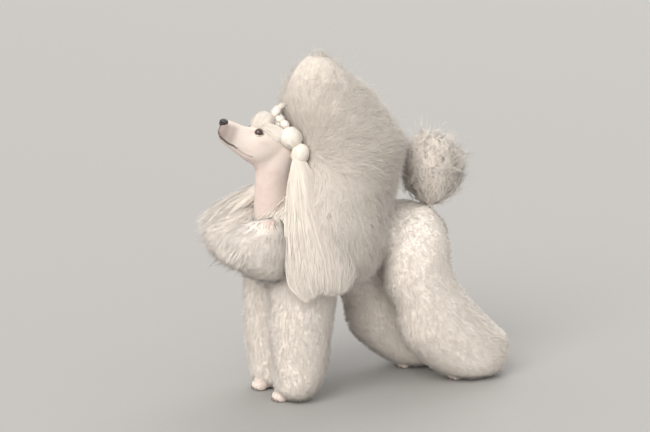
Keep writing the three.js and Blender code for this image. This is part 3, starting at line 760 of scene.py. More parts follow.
# Pairs as above; the rim's and the lid's count the height of the eye's opening as one
markSettings = {
    "lipFrom": (54, 80), "lipTop": (-12, 2), "lipShade": 0.50, "lipFront": (85, 105), "lipFrontShade": 0.25,
    "chinFrom": (40, 80), "chinWide": 6, "chinShade": 0.35, "tipFrom": (98, 110), "tipShade": 0.75,
    "foldWide": 2.0, "foldSide": 10, "foldShade": 0.35, "foldFrom": (-10, 4), "foldBackShade": 0.4,
    "lineWide": 2.6, "lineFrom": (46, 60), "mouthCorner": (50, -68), "mouthCornerWide": 2.8,
    "splitWide": 3.0, "splitFrom": (106, 113), "splitShade": 0.85,
    "rim": (1.0, 0.30), "rimShade": 0.9, "lid": (1.2, 0.6), "lidShade": 0.4,
    "eyeEnds": (10, 12), "eyeEndsFade": (16.5, 19.5), "eyeEndsLevel": (-0.6, 2.0),
    "tear": (18.5, 3.5), "tearLevel": (-1, 2.8), "tearShade": 0.7,
    "headFrom": (760, 800), "headBack": -150, "bridge": (40, 30), "bridgeLowest": -60, "bridgePink": -0.30,
    "cheek": (-10, 35), "cheekLevel": (-35, 22), "cheekPink": 0.22,
    "throat": (-115, -70), "throatLowest": 500, "throatPink": 0.45, "pink": 0.34, "feetTop": 100,
    "feetPink": 0.35,
}


def markings(points):
    # how pink, how greyish brown and how black the skin is; the dark line down the front of the upper lip is
    # partly the lip's own dark edge and partly painted shade in its groove
    marks = markSettings
    x, forward, up = headPlace(points)
    away, above = mouthDistance(forward, up)
    fold, _ = mouthDistance(forward, up, lipFold)
    overLip = (above > 0) * past(forward, *marks["lipFrom"]) * (1 - past(up, *marks["lipTop"]))
    overLip *= marks["lipShade"] + marks["lipFrontShade"] * past(forward, *marks["lipFront"])
    chin = (above <= 0) * past(forward, *marks["chinFrom"]) * around(away, 0, marks["chinWide"])
    tip = past(forward, *marks["tipFrom"])
    folded = around(fold, 0, marks["foldWide"]) * (np.abs(x) > marks["foldSide"] * mm)
    folded *= marks["foldShade"] + marks["foldBackShade"] * past(-forward, *marks["foldFrom"])
    grey = np.max([overLip, chin * marks["chinShade"], tip * marks["tipShade"], folded], axis=0)
    ahead, level = marks["mouthCorner"]
    corner = around(np.hypot(forward - ahead * mm, up - level * mm), 0, marks["mouthCornerWide"])
    mouthLine = around(away, 0, marks["lineWide"]) * past(forward, *marks["lineFrom"])
    # the front of the upper lip: partly its own dark edge, partly painted shade in the groove there
    split = (above > 0) * around(x, 0, marks["splitWide"]) * past(forward, *marks["splitFrom"])
    line = np.max([mouthLine, corner, split * marks["splitShade"]], axis=0)
    for side in (1, -1):
        a, b, c, edge = eyeDistance(points, side)
        rim = hump(edge - marks["rim"][0], marks["rim"][1])
        ends = past(np.abs(a), *marks["eyeEnds"]) * (1 - past(np.abs(a), *marks["eyeEndsFade"]))
        ends *= around(b, *marks["eyeEndsLevel"])
        lid = hump(edge - marks["lid"][0], marks["lid"][1])
        tear = around(a, *marks["tear"]) * around(b, *marks["tearLevel"])
        line = np.maximum(line, np.maximum(rim, ends) * marks["rimShade"] * (c > 0))
        grey = np.maximum(grey, np.maximum(lid * marks["lidShade"], tear * marks["tearShade"]) * (c > 0))
    height = points[:, 2]
    onSkull = past(height, *marks["headFrom"]) * (forward > marks["headBack"] * mm)
    bridge = around(forward, *marks["bridge"]) * onSkull * (up > marks["bridgeLowest"] * mm)
    cheek = around(forward, *marks["cheek"]) * around(up, *marks["cheekLevel"]) * onSkull
    throatSkin = (1 - past(up, *marks["throat"])) * (height > marks["throatLowest"] * mm)
    pink = (marks["pink"] + marks["bridgePink"] * bridge + marks["cheekPink"] * cheek
            + marks["throatPink"] * throatSkin)
    pink = np.where(height < marks["feetTop"] * mm, marks["feetPink"], pink)
    return {"pink": np.clip(pink, 0, 1), "grey": grey, "line": line}


skin = joined("skin", [trunk, feet, face])
for key, values in markings(vertexValues(skin, "co")).items():
    painted(skin, key, values)
skin.data.materials.clear()
skin.data.materials.append(clippedSkin)
bpy.ops.object.shade_smooth()
print("skin", len(skin.data.polygons))

# Eyes


eyeColours = {
    "irisDark": (0.030, 0.012, 0.006), "irisLight": (0.10, 0.042, 0.018), "pupil": (0.004, 0.003, 0.003),
    "ring": (0.012, 0.007, 0.005), "white": (0.16, 0.10, 0.085), "fibre": 900.0,
    "pupilEdge": (0.30, 0.36), "ringEdge": (0.60, 0.70), "whiteEdge": (0.84, 0.96),
}
lidColours = {"dark": (0.02, 0.015, 0.014), "light": (0.06, 0.042, 0.038), "scale": 800.0}


def eyeMaterial():
    # dark brown iris round a black pupil, behind a wet cornea
    made = material("eyeGlass", 0.06, Coat_Weight=1.0, Coat_Roughness=0.02)
    tree = made.node_tree
    gaze = attribute(made, "gaze")
    iris = mixed(tree, noise(tree, eyeColours["fibre"]), eyeColours["irisDark"], eyeColours["irisLight"])
    withPupil = mixed(tree, spread(tree, gaze, *eyeColours["pupilEdge"]), eyeColours["pupil"], iris)
    withRing = mixed(tree, spread(tree, gaze, *eyeColours["ringEdge"]), withPupil, eyeColours["ring"])
    feed(made, "Base Color", mixed(tree, spread(tree, gaze, *eyeColours["whiteEdge"]), withRing,
                                   eyeColours["white"]))
    return made


def lidRim(side):
    # the dark wet edge of both lids, as one closed band round the opening
    middle, long, high, outward = eyeFrame(side)
    turns, sides = 72, 10
    verts, faces = [], []
    for step in range(turns):
        turn = step / turns * 2 * math.pi
        share = math.cos(turn)
        upper = math.sin(turn) > 0
        rise = float(lidHeight(np.array(share), np.array(upper))) * (1 if upper else -1)
        flat = long * share * eyeSettings["halfLong"] * mm + high * rise
        depth = math.sqrt(max((eyeSettings["radius"] * mm) ** 2 - np.dot(flat, flat), 1e-8))
        rest = middle + flat + outward * depth
        away = unit(rest - middle)
        sideways = unit(flat - away * np.dot(flat, away))
        for part in range(sides):
            angle = part / sides * 2 * math.pi
            push = away * (math.sin(angle) + eyeSettings["rimOut"])
            push += sideways * (math.cos(angle) * eyeSettings["rimWide"] + eyeSettings["rimAside"])
            verts.append(rest + push * eyeSettings["rim"] * mm)
    for step in range(turns):
        for part in range(sides):
            nextStep, nextPart = (step + 1) % turns, (part + 1) % sides
            faces.append((step * sides + part, nextStep * sides + part,
                          nextStep * sides + nextPart, step * sides + nextPart))
    data = bpy.data.meshes.new("lidRim")
    data.from_pydata([tuple(vert) for vert in verts], [], faces)
    rim = bpy.data.objects.new("lidRim", data)
    bpy.context.scene.collection.objects.link(rim)
    select(rim)
    bpy.ops.object.mode_set(mode="EDIT")
    bpy.ops.mesh.select_all(action="SELECT")
    bpy.ops.mesh.normals_make_consistent(inside=False)
    bpy.ops.object.mode_set(mode="OBJECT")
    return rim


eyeGlass = eyeMaterial()
lidSkin = material("lidSkin", 0.32, Specular_IOR_Level=0.5)
feed(lidSkin, "Base Color", mixed(lidSkin.node_tree, noise(lidSkin.node_tree, lidColours["scale"]),
                                  lidColours["dark"], lidColours["light"]))
facePieces = []
for side, name in ((1, "Left"), (-1, "Right")):
    middle, _, _, outward = eyeFrame(side)
    eye = ball("eye" + name, middle, [eyeSettings["radius"] * mm] * 3, 64, 40)
    away = vertexValues(eye, "co") - middle
    gaze = np.arccos(np.clip(unit(away) @ outward, -1, 1)) * eyeSettings["radius"] / eyeSettings["iris"]
    bulge = 1 + eyeSettings["cornea"] * hump(gaze, eyeSettings["corneaWide"])
    setCoordinates(eye, middle + away * bulge[:, None])
    painted(eye, "gaze", gaze)
    eye.data.materials.append(eyeGlass)
    bpy.ops.object.shade_smooth()
    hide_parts("eye_" + name.lower())
    rim = lidRim(side)
    rim.name = "lidRim" + name
    rim.data.materials.append(lidSkin)
    bpy.ops.object.shade_smooth()
    facePieces += [eye, rim]

# Nose
noseSettings = {
    "spot": (0, 107.5, -7), "size": (16.5, 15.5, 14),
    "hole": 5.5, "holeAcross": (6.6, 2.9), "holeUp": (-0.8, 2.6), "holeFront": 1,
    "slit": 3.4, "slitLevel": 0.4, "slitSlope": 0.25, "slitPivot": 9, "slitWide": 1.3, "slitFrom": (6.5, 9.5),
    "slitFront": -4, "groove": 1.3, "grooveWide": 1.0, "grooveTop": (2.0, 6.0),
    "wing": 0.9, "wingAcross": (6.5, 3.2), "wingUp": (4.2, 2.2), "taper": 0.34, "taperFrom": (1.0, 11.0),
}
noseColours = {
    # inside is the near black painted into the nostrils as shade in their hollows
    "dark": (0.022, 0.018, 0.018), "light": (0.075, 0.060, 0.058), "inside": (0.004, 0.003, 0.003),
    "cloud": 160.0, "pebbles": 950.0, "pebbleStrength": 0.5, "pebbleHigh": 0.0006,
}


def noseShape(points, middle):
    # nostrils like commas that open to the sides, and a groove down the middle
    shape = noseSettings
    x, forward, up = headPlace(points)
    forward = forward - shape["spot"][1] * mm
    up = up - shape["spot"][2] * mm
    side = np.abs(x)
    hole = around(side, *shape["holeAcross"]) * around(up, *shape["holeUp"])
    hole *= forward > shape["holeFront"] * mm
    slope = up + (side - shape["slitPivot"] * mm) * shape["slitSlope"]
    slit = around(slope, shape["slitLevel"], shape["slitWide"]) * past(side, *shape["slitFrom"])
    slit *= forward > shape["slitFront"] * mm
    groove = around(x, 0, shape["grooveWide"]) * (forward > 0) * (1 - past(up, *shape["grooveTop"]))
    wing = around(side, *shape["wingAcross"]) * around(up, *shape["wingUp"]) * (forward > 0)
    move = shape["wing"] * wing - shape["hole"] * hole - shape["slit"] * slit - shape["groove"] * groove
    points = points + unit(points - middle) * (move * mm)[:, None]
    points[:, 0] *= 1 - shape["taper"] * past(-up, *shape["taperFrom"])
    return points, np.clip(hole + slit, 0, 1)


noseSpot = onHead(*(value * mm for value in noseSettings["spot"]))
nose = ball("nosePad", noseSpot, [value * mm for value in noseSettings["size"]], 72, 48, -headPitch)
nosePoints, nostrils = noseShape(vertexValues(nose, "co"), noseSpot)
setCoordinates(nose, nosePoints)
painted(nose, "hole", nostrils)
noseSkin = material("noseSkin", 0.42, Specular_IOR_Level=0.45)
noseTree = noseSkin.node_tree
pebbles = wired(noseTree, "ShaderNodeTexVoronoi", {"Scale": noseColours["pebbles"]},
                {"Vector": noseTree.nodes.new("ShaderNodeTexCoord").outputs["Object"]}, feature="SMOOTH_F1")
noseTint = mixed(noseTree, noise(noseTree, noseColours["cloud"], 3.0),
                 noseColours["dark"], noseColours["light"])
# the nostrils are painted near black inside: painted shade in their hollows
feed(noseSkin, "Base Color", mixed(noseTree, attribute(noseSkin, "hole"), noseTint, noseColours["inside"]))
bumped(noseSkin, pebbles.outputs["Distance"], noseColours["pebbleStrength"], noseColours["pebbleHigh"])
nose.data.materials.append(noseSkin)
bpy.ops.object.shade_smooth()
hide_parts("nose")
facePieces.append(nose)
print("face ready")

# Coat

coatRoom = {"share": 0.03, "more": 0.008, "floor": 0.001}
roomSide = (np.array(cadBox[1]) - np.array(cadBox[0])) * coatRoom["share"] + coatRoom["more"]
roomLow = np.array(cadBox[0]) - roomSide
roomHigh = np.array(cadBox[1]) + roomSide
roomLow[2] = coatRoom["floor"]
tuftSettings = {
    "corners": ((-0.5, -0.2), (0.5, -0.2), (0.0, 0.3)), "spin": 0.9, "slimmer": 0.45, "patch": 0.003,
    "mapShare": 0.99, "width": (0.7, 1.3),
}
swirlSettings = {"waves": 18, "speed": (0.6, 1.7), "push": 3}
coatSettings = {
    "leastRadius": 4, "nudge": 1e-3, "length": (0.7, 1.25), "mostTurn": 0.8, "leastShare": 0.3,
    "curlSeed": 50, "strayShare": 0.05, "strayLonger": 2.2, "tipOut": 0.8, "tipAlong": 0.5, "lowest": 2,
    "hiddenShare": 0.95,
}


def scatter(at, count, random):
    # places on a body, as many on each patch as its area asks for
    turns, lengths = 72, 90
    angle = (np.arange(turns) + 0.5) / turns * 2 * math.pi
    along = (np.arange(lengths) + 0.5) / lengths
    grid = np.stack(np.meshgrid(angle, along, indexing="ij"), -1).reshape(-1, 2)
    nudge = coatSettings["nudge"]
    here = at(grid[:, 0], grid[:, 1])
    area = np.linalg.norm(np.cross(at(grid[:, 0] + nudge, grid[:, 1]) - here,
                                   at(grid[:, 0], grid[:, 1] + nudge) - here), axis=1)
    picked = grid[random.choice(len(grid), count, p=area / area.sum())]
    jitter = random.uniform(-0.5, 0.5, (count, 2))
    return picked[:, 0] + jitter[:, 0] * 2 * math.pi / turns, picked[:, 1] + jitter[:, 1] / lengths


def swirl(seed, size):
    # a smooth field of directions that changes over about this many millimetres
    random = np.random.default_rng(seed)
    number = swirlSettings["waves"]
    waves = unit(random.normal(size=(number, 3))) * (2 * math.pi / (size * mm))
    waves = waves * random.uniform(*swirlSettings["speed"], (number, 1))
    pushes = random.normal(size=(number, 3)) / swirlSettings["push"]
    starts = random.uniform(0, 2 * math.pi, number)
    return lambda points: np.sin(points @ waves.T + starts) @ pushes


def tuftMesh(name, controls, out, width, home, random, mark):
    # closed three-sided tufts through control points, the last one being the tip; out is the way
    # that the coat faces, for each tuft or for each of its rings
    count, rings = len(controls[0]), len(controls) - 1
    verts = np.empty((count, rings * 3 + 1, 3))
    spin = random.uniform(-tuftSettings["spin"], tuftSettings["spin"], count)[:, None]
    for ring in range(rings):
        ahead = unit(controls[ring + 1] - controls[max(ring - 1, 0)])
        across = unit(np.cross(out[ring] if isinstance(out, list) else out, ahead))
        rise = np.cross(ahead, across)
        flat = across * np.cos(spin) + rise * np.sin(spin)
        high = rise * np.cos(spin) - across * np.sin(spin)
        slim = 1 - tuftSettings["slimmer"] * (ring / rings) ** 2
        for corner, (x, z) in enumerate(tuftSettings["corners"]):
            verts[:, ring * 3 + corner] = controls[ring] + (flat * x + high * z) * (width * slim)[:, None]
    verts[:, -1] = controls[-1]
    size = rings * 3 + 1
    loops, starts, at = [0, 2, 1], [0], 3
    for ring in range(rings - 1):
        for corner in range(3):
            nextCorner = (corner + 1) % 3
            loops += [ring * 3 + corner, ring * 3 + nextCorner,
                      ring * 3 + 3 + nextCorner, ring * 3 + 3 + corner]
            starts.append(at)
            at += 4
    for corner in range(3):
        loops += [(rings - 1) * 3 + corner, (rings - 1) * 3 + (corner + 1) % 3, size - 1]
        starts.append(at)
        at += 3
    loops, starts = np.array(loops), np.array(starts)
    data = bpy.data.meshes.new(name)
    data.vertices.add(count * size)
    data.vertices.foreach_set("co", np.clip(verts + place, roomLow, roomHigh).ravel())
    allLoops = (np.arange(count)[:, None] * size + loops).ravel()
    data.loops.add(len(allLoops))
    data.loops.foreach_set("vertex_index", allLoops)
    allStarts = (np.arange(count)[:, None] * len(loops) + starts).ravel()
    data.polygons.add(len(allStarts))
    data.polygons.foreach_set("loop_start", allStarts)
    data.polygons.foreach_set("use_smooth", np.ones(len(allStarts), bool))
    data.update(calc_edges=True)
    level = np.minimum(np.arange(size) // 3, rings)
    if isinstance(out, list):
        facing = np.stack([out[ring] for ring in level], 1)
    else:
        facing = np.repeat(out[:, None], size, axis=1)
    data.normals_split_custom_set_from_vertices(facing.reshape(-1, 3))
    # each tuft is a small patch at its root's place on the unrolled skin
    patch = np.stack([np.append(np.tile([0, 0.5, 1], rings), 0.5), level / rings], -1) * tuftSettings["patch"]
    home = home * tuftSettings["mapShare"]
    bake = data.uv_layers.new(name="OFBake")
    bake.data.foreach_set("uv", (home[:, None] + patch[loops][None]).ravel())
    made = bpy.data.objects.new(name, data)
    bpy.context.scene.collection.objects.link(made)
    # the share along each tuft from root to tip; the coat shaders darken it towards the root as painted shade
    painted(made, "grown", np.tile(level / rings, count))
    painted(made, "strand", np.repeat(random.random(count), size))
    painted(made, "mark", np.repeat(mark, size))
    return made


def finished(made, coatMaterial, nodes=()):
    made.data.materials.append(coatMaterial)
    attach(made, "root")
    if nodes:
        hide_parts(*nodes)
    return made


def uneven(width, count, random):
    return width * mm * random.uniform(*tuftSettings["width"], count)


def coat(name, body, spec, coatMaterial, nodes=(), hiders=(), keep=None):
    # tips stand evenly on the clipped outline, and each tuft is traced back from there to its root
    at, _ = bodies[body]
    random = np.random.default_rng(spec["seed"])
    count, rings = spec["count"], spec["rings"]
    angle, along = scatter(at, count, random)
    surface = at(angle, along)
    nudge = coatSettings["nudge"]
    side = np.where(along < 0.5, 1, -1)
    turnStep = (at(angle + nudge, along) - surface) / nudge
    longStep = (at(angle, along + nudge * side) - surface) / nudge * side[:, None]
    axis = at(angle, along, 0.0)
    radius = np.maximum(np.linalg.norm(surface - axis, axis=-1), coatSettings["leastRadius"] * mm)
    out = unit(np.cross(turnStep, longStep))
    out *= 1 if (out * (surface - axis)).sum() > 0 else -1
    way = spec["lie"](surface) + random.normal(0, spec["stray"], (count, 3))
    way = way + swirl(spec["seed"], spec["lockSize"])(surface) * spec["lean"]
    way = way * (spec["long"] * mm * random.uniform(*coatSettings["length"], count))[:, None]
    # the way over the surface, as steps round it and along it
    a, b, c = (turnStep ** 2).sum(-1), (turnStep * longStep).sum(-1), (longStep ** 2).sum(-1)
    p, q = (way * turnStep).sum(-1), (way * longStep).sum(-1)
    room = np.maximum(a * c - b * b, 1e-12)
    turn = np.clip((c * p - b * q) / room, -coatSettings["mostTurn"], coatSettings["mostTurn"])
    climb = (a * q - b * p) / room
    curl = swirl(spec["seed"] + coatSettings["curlSeed"], spec["curlSize"])
    controls = []
    for level in range(rings + 1):
        t = level / rings
        depth = spec["deep"] * mm * (1 - t ** spec["bend"])
        share = np.clip(1 - depth / radius, coatSettings["leastShare"], 1)
        spot = at(angle - turn * (1 - t), along - climb * (1 - t), share)
        controls.append(spot + curl(spot) * spec["curl"] * mm * t)
    reach = np.abs(random.normal(0, spec["fuzz"] * mm, count))
    straying = random.random(count) < coatSettings["strayShare"]
    reach = reach * np.where(straying, coatSettings["strayLonger"], 1)
    tipWay = out * coatSettings["tipOut"] + unit(way) * coatSettings["tipAlong"]
    controls[-1] = controls[-1] + tipWay * reach[:, None]
    shown = controls[-1][:, 2] > coatSettings["lowest"] * mm
    for other in hiders:
        shown &= ~bodies[other][1](controls[-1], coatSettings["hiddenShare"])
    if keep is not None:
        shown &= keep(surface)
    controls = [points[shown] for points in controls]
    home = np.stack([(angle[shown] / (2 * math.pi)) % 1, np.clip(along[shown], 0, 1)], -1)
    width = uneven(spec["wide"], shown.sum(), random)
    made = tuftMesh(name, controls, out[shown], width, home, random, spec["mark"](surface[shown]))
    print(name, shown.sum(), "tufts")
    return finished(made, coatMaterial, nodes)


def steady(x, y, z):
    way = unit(np.array([x, y, z], float))
    return lambda points: np.tile(way, (len(points), 1))


brushing = {
    "ear": (0, -235, 790), "flat": 0.15, "turnBelow": 0.84, "turn": 2.6, "mostTurn": 1.8, "sudden": 1.5,
}
creaming = {"forward": 0.6, "level": 0.70, "from": -0.08, "to": 0.22, "plain": 0.2}
# Where the coats end, in millimetres
coatEdges = {
    "rumpFront": 30, "chestTop": 578, "shoulderTop": 690, "crestBottom": 670, "neckFront": -290,
    "neckBottom": 575, "pomponBottom": 654, "pomponWoolBottom": 658,
}


def fromEar(points):
    # the brushed-out coat runs away from behind the ear, up over the crest and down below the shoulder
    way = points - np.array(brushing["ear"]) * mm
    way[:, 0] *= brushing["flat"]
    way = unit(way)
    turn = np.clip((brushing["turnBelow"] - points[:, 2]) * brushing["turn"], 0, brushing["mostTurn"])
    way[:, 2] -= turn ** brushing["sudden"]
    return unit(way)


def creamBelow(points):
    # the chest and the lower part of the mane are whiter than its back and crest, whose grey is partly the
    # coat's own tone and partly painted shade
    low = creaming["level"] - points[:, 1] * creaming["forward"] - points[:, 2]
    return ramp(low, creaming["from"], creaming["to"])


def plain(points):
    return np.full(len(points), creaming["plain"])


def grownAbove(edge):
    # keeps the hair that grows over one of the edges
    return lambda points: points[:, 2] > coatEdges[edge] * mm


def besideNeck(points):
    # the mane below its crest, open where the neck is bare
    behind = points[:, 1] > coatEdges["neckFront"] * mm
    low = points[:, 2] < coatEdges["neckBottom"] * mm
    return (points[:, 2] < coatEdges["shoulderTop"] * mm) & (behind | low)


print("coat tools ready")

# Hair of each coat: rings, length, depth, width and unevenness, in millimetres
legFuzz = {"rings": 1, "long": 9, "deep": 15, "wide": 2.5, "bend": 1.0, "stray": 0.5, "fuzz": 2.4,
           "lockSize": 42, "lean": 0.32, "curl": 2.0, "curlSize": 16, "mark": plain}
maneHair = dict(legFuzz, long=58, deep=17, wide=1.45, fuzz=5, lockSize=60, lean=0.22, stray=0.15, curl=2.5,
                curlSize=40, mark=creamBelow)
maneWisp = dict(maneHair, rings=3, long=85, deep=24, wide=0.85, bend=0.75, fuzz=17, stray=0.25, curl=8)
tailWisp = dict(maneWisp, rings=5, long=52, deep=40, wide=1.1, stray=0.3, fuzz=20, curl=17, curlSize=46,
                lean=1.3, lockSize=38, lie=steady(0, 0.3, 0.6))
tailWool = dict(maneHair, rings=2, long=36, deep=26, wide=1.5, stray=0.35, fuzz=6, curl=12, curlSize=34,
                lean=1.3, lockSize=38, lie=steady(0, 0.3, 0.6))
foreFuzz = dict(legFuzz, count=21500)
hindFuzz = dict(legFuzz, count=24500, wide=3.1)
rumpFuzz = dict(legFuzz, count=19000, deep=12, wide=2.8)
chestHair = dict(legFuzz, count=12000, stray=0.25)
coat("coatForelegLeft", "forelegLeft", dict(foreFuzz, seed=1, lie=steady(0.1, -0.1, -1)), legCoat,
     ["foreleg_left"], ["chestLeft", "mane"])
coat("coatForelegRight", "forelegRight", dict(foreFuzz, seed=2, lie=steady(-0.1, -0.1, -1)), legCoat,
     ["foreleg_right"], ["chestRight", "mane"])
coat("coatHindlegLeft", "hindlegLeft", dict(hindFuzz, seed=3, lie=steady(0.1, 0.5, -0.8)), legCoat,
     ["hindleg_left"], ["torso"])
coat("coatHindlegRight", "hindlegRight", dict(hindFuzz, seed=4, lie=steady(-0.1, 0.5, -0.8)), legCoat,
     ["hindleg_right"], ["torso"])
coat("coatRump", "torso", dict(rumpFuzz, seed=5, lie=steady(0, 0.7, -0.5)), legCoat, ["torso"],
     ["mane", "hindlegLeft", "hindlegRight"], lambda points: points[:, 1] > coatEdges["rumpFront"] * mm)
coat("coatChestLeft", "chestLeft",
     dict(chestHair, seed=6, long=30, deep=14, wide=1.8, fuzz=5, lie=steady(0.1, -0.5, -0.9)), legCoat,
     ["chest_left"], keep=lambda points: points[:, 2] < coatEdges["chestTop"] * mm)
coat("coatChestRight", "chestRight",
     dict(chestHair, seed=7, long=40, deep=16, wide=1.7, fuzz=9, lie=steady(-0.2, -0.9, -0.5)), legCoat,
     ["chest_right"])
coat("maneShoulder", "mane", dict(maneHair, seed=13, count=49000, lie=fromEar), maneCoat, ["mane"],
     ["forelegLeft", "forelegRight"], besideNeck)
coat("maneCrest", "mane", dict(maneHair, seed=14, count=53000, lie=fromEar), maneCoat,
     keep=grownAbove("crestBottom"))
coat("maneWisps", "mane", dict(maneWisp, seed=16, count=6500, lie=fromEar), maneCoat,
     hiders=["forelegLeft", "forelegRight"])
coat("tailPompon", "pompon", dict(tailWisp, seed=10, count=2700), earCoat, ["pompon"],
     keep=grownAbove("pomponBottom"))
coat("pomponWool", "pompon", dict(tailWool, seed=15, count=6500), earCoat,
     keep=grownAbove("pomponWoolBottom"))

# Wool under the tufts: the part of each body's width that it fills, and its shade
woolSettings = {
    "trunk": 0.94, "mane": 0.9, "pompon": 0.6, "foreleg": 0.91, "hindleg": 0.92, "chest": 0.93, "ear": 0.8,
    "grown": 0.75, "strand": 0.5, "greyFrom": (600, 740),
}
woolRuff = [
    [-270, 672, 708, 20, -84], [-345, 610, 668, 33, -108],
    [-420, 552, 626, 44, -118], [-470, 498, 570, 44, -124],
]
# The mane's wool stays behind the collar, where the neck is bare
collarGap = {"above": 590, "below": 700, "front": -292}
maneWool = []
for z, front, *rest in mane[1:-2]:
    besideCollar = collarGap["above"] < z < collarGap["below"]
    maneWool.append([z, max(front, collarGap["front"]) if besideCollar else front, *rest])
woolParts = [
    limb("woolTrunk", torso, lying=True, share=woolSettings["trunk"]),
    limb("woolMane", maneWool, share=woolSettings["mane"]),
    limb("woolPompon", pompon[2:-1], share=woolSettings["pompon"]),
    limb("woolRuff", woolRuff, lying=True),
]
for side, foreStep, hindStep in ((1, 0, 0), (-1, rightForelegStep, rightHindlegStep)):
    woolParts += [
        limb("woolFore", foreleg[1:], side=side, step=foreStep, share=woolSettings["foreleg"]),
        limb("woolHind", hindleg[1:], side=side, step=hindStep, share=woolSettings["hindleg"]),
        limb("woolChest", chest[1:-2], side=side, share=woolSettings["chest"]),
        limb("woolEar", ear[3:-2], side=side, share=woolSettings["ear"]),
    ]
woolCoat = joined("woolCoat", woolParts)
remeshed(woolCoat, **meshGrain["wool"])
woolPoints = vertexValues(woolCoat, "co")
# the wool takes a little of the roots' darker colour, a painted shade under the tufts
painted(woolCoat, "grown", np.full(len(woolPoints), woolSettings["grown"]))
painted(woolCoat, "strand", np.full(len(woolPoints), woolSettings["strand"]))
# the wool is grey above its lower part, partly its own tone and partly painted shade
painted(woolCoat, "mark", 1 - past(woolPoints[:, 2], *woolSettings["greyFrom"]))
woolCoat.data.materials.append(underCoat)
bpy.ops.object.shade_smooth()
print("wool", len(woolCoat.data.polygons))

# Hair that hangs or is gathered

lockSettings = {"stations": 41, "rootward": 0.6, "early": 1.5, "rounder": 2, "ends": 0.02, "curlSize": 30}
bubbleSettings = {
    "rings": 6, "share": (0.965, 1.03), "drift": 0.13, "bumpSize": 22, "bump": 1.3, "pinch": 0.03,
    # the cores take a little of the roots' darker colour, a painted shade under the strands
    "blunt": 0.75, "coreSize": (0.98, 0.96, 0.96), "coreValues": {"grown": 0.8, "strand": 0.5, "mark": 0.0},
}


def locks(name, stations, across, spec, coatMaterial, nodes=()):
    # hair that runs through ovals along a line: centre, half width and half height of each
    random = np.random.default_rng(spec["seed"])
    count, rings = spec["count"], spec["rings"]
    number, ends = lockSettings["stations"], lockSettings["ends"]
    line = smoothLine([[*centre, wide * mm, high * mm] for centre, wide, high in stations], number)
    angle = random.uniform(0, 2 * math.pi, count)
    share = random.uniform(spec["inner"], 1, count) ** lockSettings["rootward"]
    start = random.uniform(0, spec.get("startBy", ends), count)
    end = 1 - random.uniform(0, 1, count) ** lockSettings["early"] * spec.get("shorter", ends)
    curl = swirl(spec["seed"], spec.get("curlSize", lockSettings["curlSize"]))
    wander = random.normal(0, spec["stray"] * mm, (count, 3))
    ahead = unit(np.gradient(line[:, :3], axis=0))
    sideways = unit(np.array(across, float) - ahead * (ahead @ np.array(across, float))[:, None])
    rise = np.cross(sideways, ahead)
    rise *= np.where(rise[:, 2:3] >= 0, 1, -1) if spec.get("upright", True) else 1

    def onLine(t, table):
        return np.stack([np.interp(t * (number - 1), np.arange(number), column) for column in table.T], -1)

    controls = []
    for level in range(rings + 1):
        t = start + (end - start) * level / rings
        spot = onLine(t, line)
        reach = share * (1 - spec["sink"] * (1 - level / rings) ** lockSettings["rounder"])
        here = (spot[:, :3] + onLine(t, sideways) * (np.cos(angle) * reach * spot[:, 3])[:, None]
                + onLine(t, rise) * (np.sin(angle) * reach * spot[:, 4])[:, None])
        if level == rings // 2:
            out = unit(here - spot[:, :3])
        controls.append(here + wander * t[:, None] + curl(here) * spec.get("curl", 0) * mm * t[:, None])
    out = unit(out * (1 - spec["flat"]) + unit(np.array(spec["facing"], float)) * spec["flat"])
    home = np.stack([angle / (2 * math.pi), random.random(count)], -1)
    width = uneven(spec["wide"], count, random)
    made = tuftMesh(name, controls, out, width, home, random, np.full(count, spec.get("mark", 0.0)))
    return finished(made, coatMaterial, nodes)


def bubble(name, middle, pole, across, size, spec, nodes=()):
    # a smooth roll of hair between two ties: strands run over it from one end to the other
    random = np.random.default_rng(spec["seed"])
    count, rings = spec["count"], bubbleSettings["rings"]
    pole = unit(np.array(pole, float))
    sideways = unit(np.array(across, float) - pole * np.dot(across, pole))
    rise = np.cross(pole, sideways)
    half, wide, high = (value * mm for value in size)
    angle = random.uniform(0, 2 * math.pi, count)
    share = random.uniform(*bubbleSettings["share"], count)
    drift = random.normal(0, bubbleSettings["drift"], count)
    bumps = swirl(spec["seed"], bubbleSettings["bumpSize"])
    controls, out = [], []
    for level in range(rings + 1):
        t = level / rings
        phi = math.pi * (bubbleSettings["pinch"] + (1 - 2 * bubbleSettings["pinch"]) * t)
        turn = angle + drift * math.sin(math.pi * t)
        swell = math.sin(phi) ** spec.get("blunt", bubbleSettings["blunt"]) * share
        spot = (np.array(middle) - pole * math.cos(phi) * half
                + sideways * (np.cos(turn) * swell * wide)[:, None]
                + rise * (np.sin(turn) * swell * high)[:, None])
        controls.append(spot + bumps(spot) * bubbleSettings["bump"] * mm * math.sin(phi))
        out.append(unit(sideways * (np.cos(turn) * swell / wide)[:, None]
                        + rise * (np.sin(turn) * swell / high)[:, None] - pole * math.cos(phi) / half))
    home = np.stack([angle / (2 * math.pi), random.random(count)], -1)
    width = uneven(spec["wide"], count, random)
    made = tuftMesh(name, controls, out, width, home, random, np.zeros(count))
    finished(made, spec.get("coat", earCoat), nodes)
    coreSize = [value * part for value, part in zip((half, wide, high), bubbleSettings["coreSize"])]
    filling = ball(name + "Core", (0, 0, 0), coreSize, 48, 32)
    turnTo = Matrix((Vector(pole), Vector(sideways), Vector(rise))).transposed().to_4x4()
    filling.data.transform(Matrix.Translation(Vector(middle)) @ turnTo)
    for key, value in bubbleSettings["coreValues"].items():
        painted(filling, key, np.full(len(filling.data.vertices), value))
    filling.data.materials.append(spec.get("coat", earCoat))
    bpy.ops.object.shade_smooth()
    return filling


# Rolls of gathered hair: middle, way from end to end, way across, and half sizes in millimetres
knot = {"count": 540, "wide": 1.35}
budKnot = dict(knot, count=170, wide=1.0)
templeHair = {"count": 950, "rings": 4, "wide": 1.9, "inner": 0.4, "stray": 0.8, "startBy": 0.35,
              "shorter": 0.1, "sink": 0.3, "flat": 0.5}
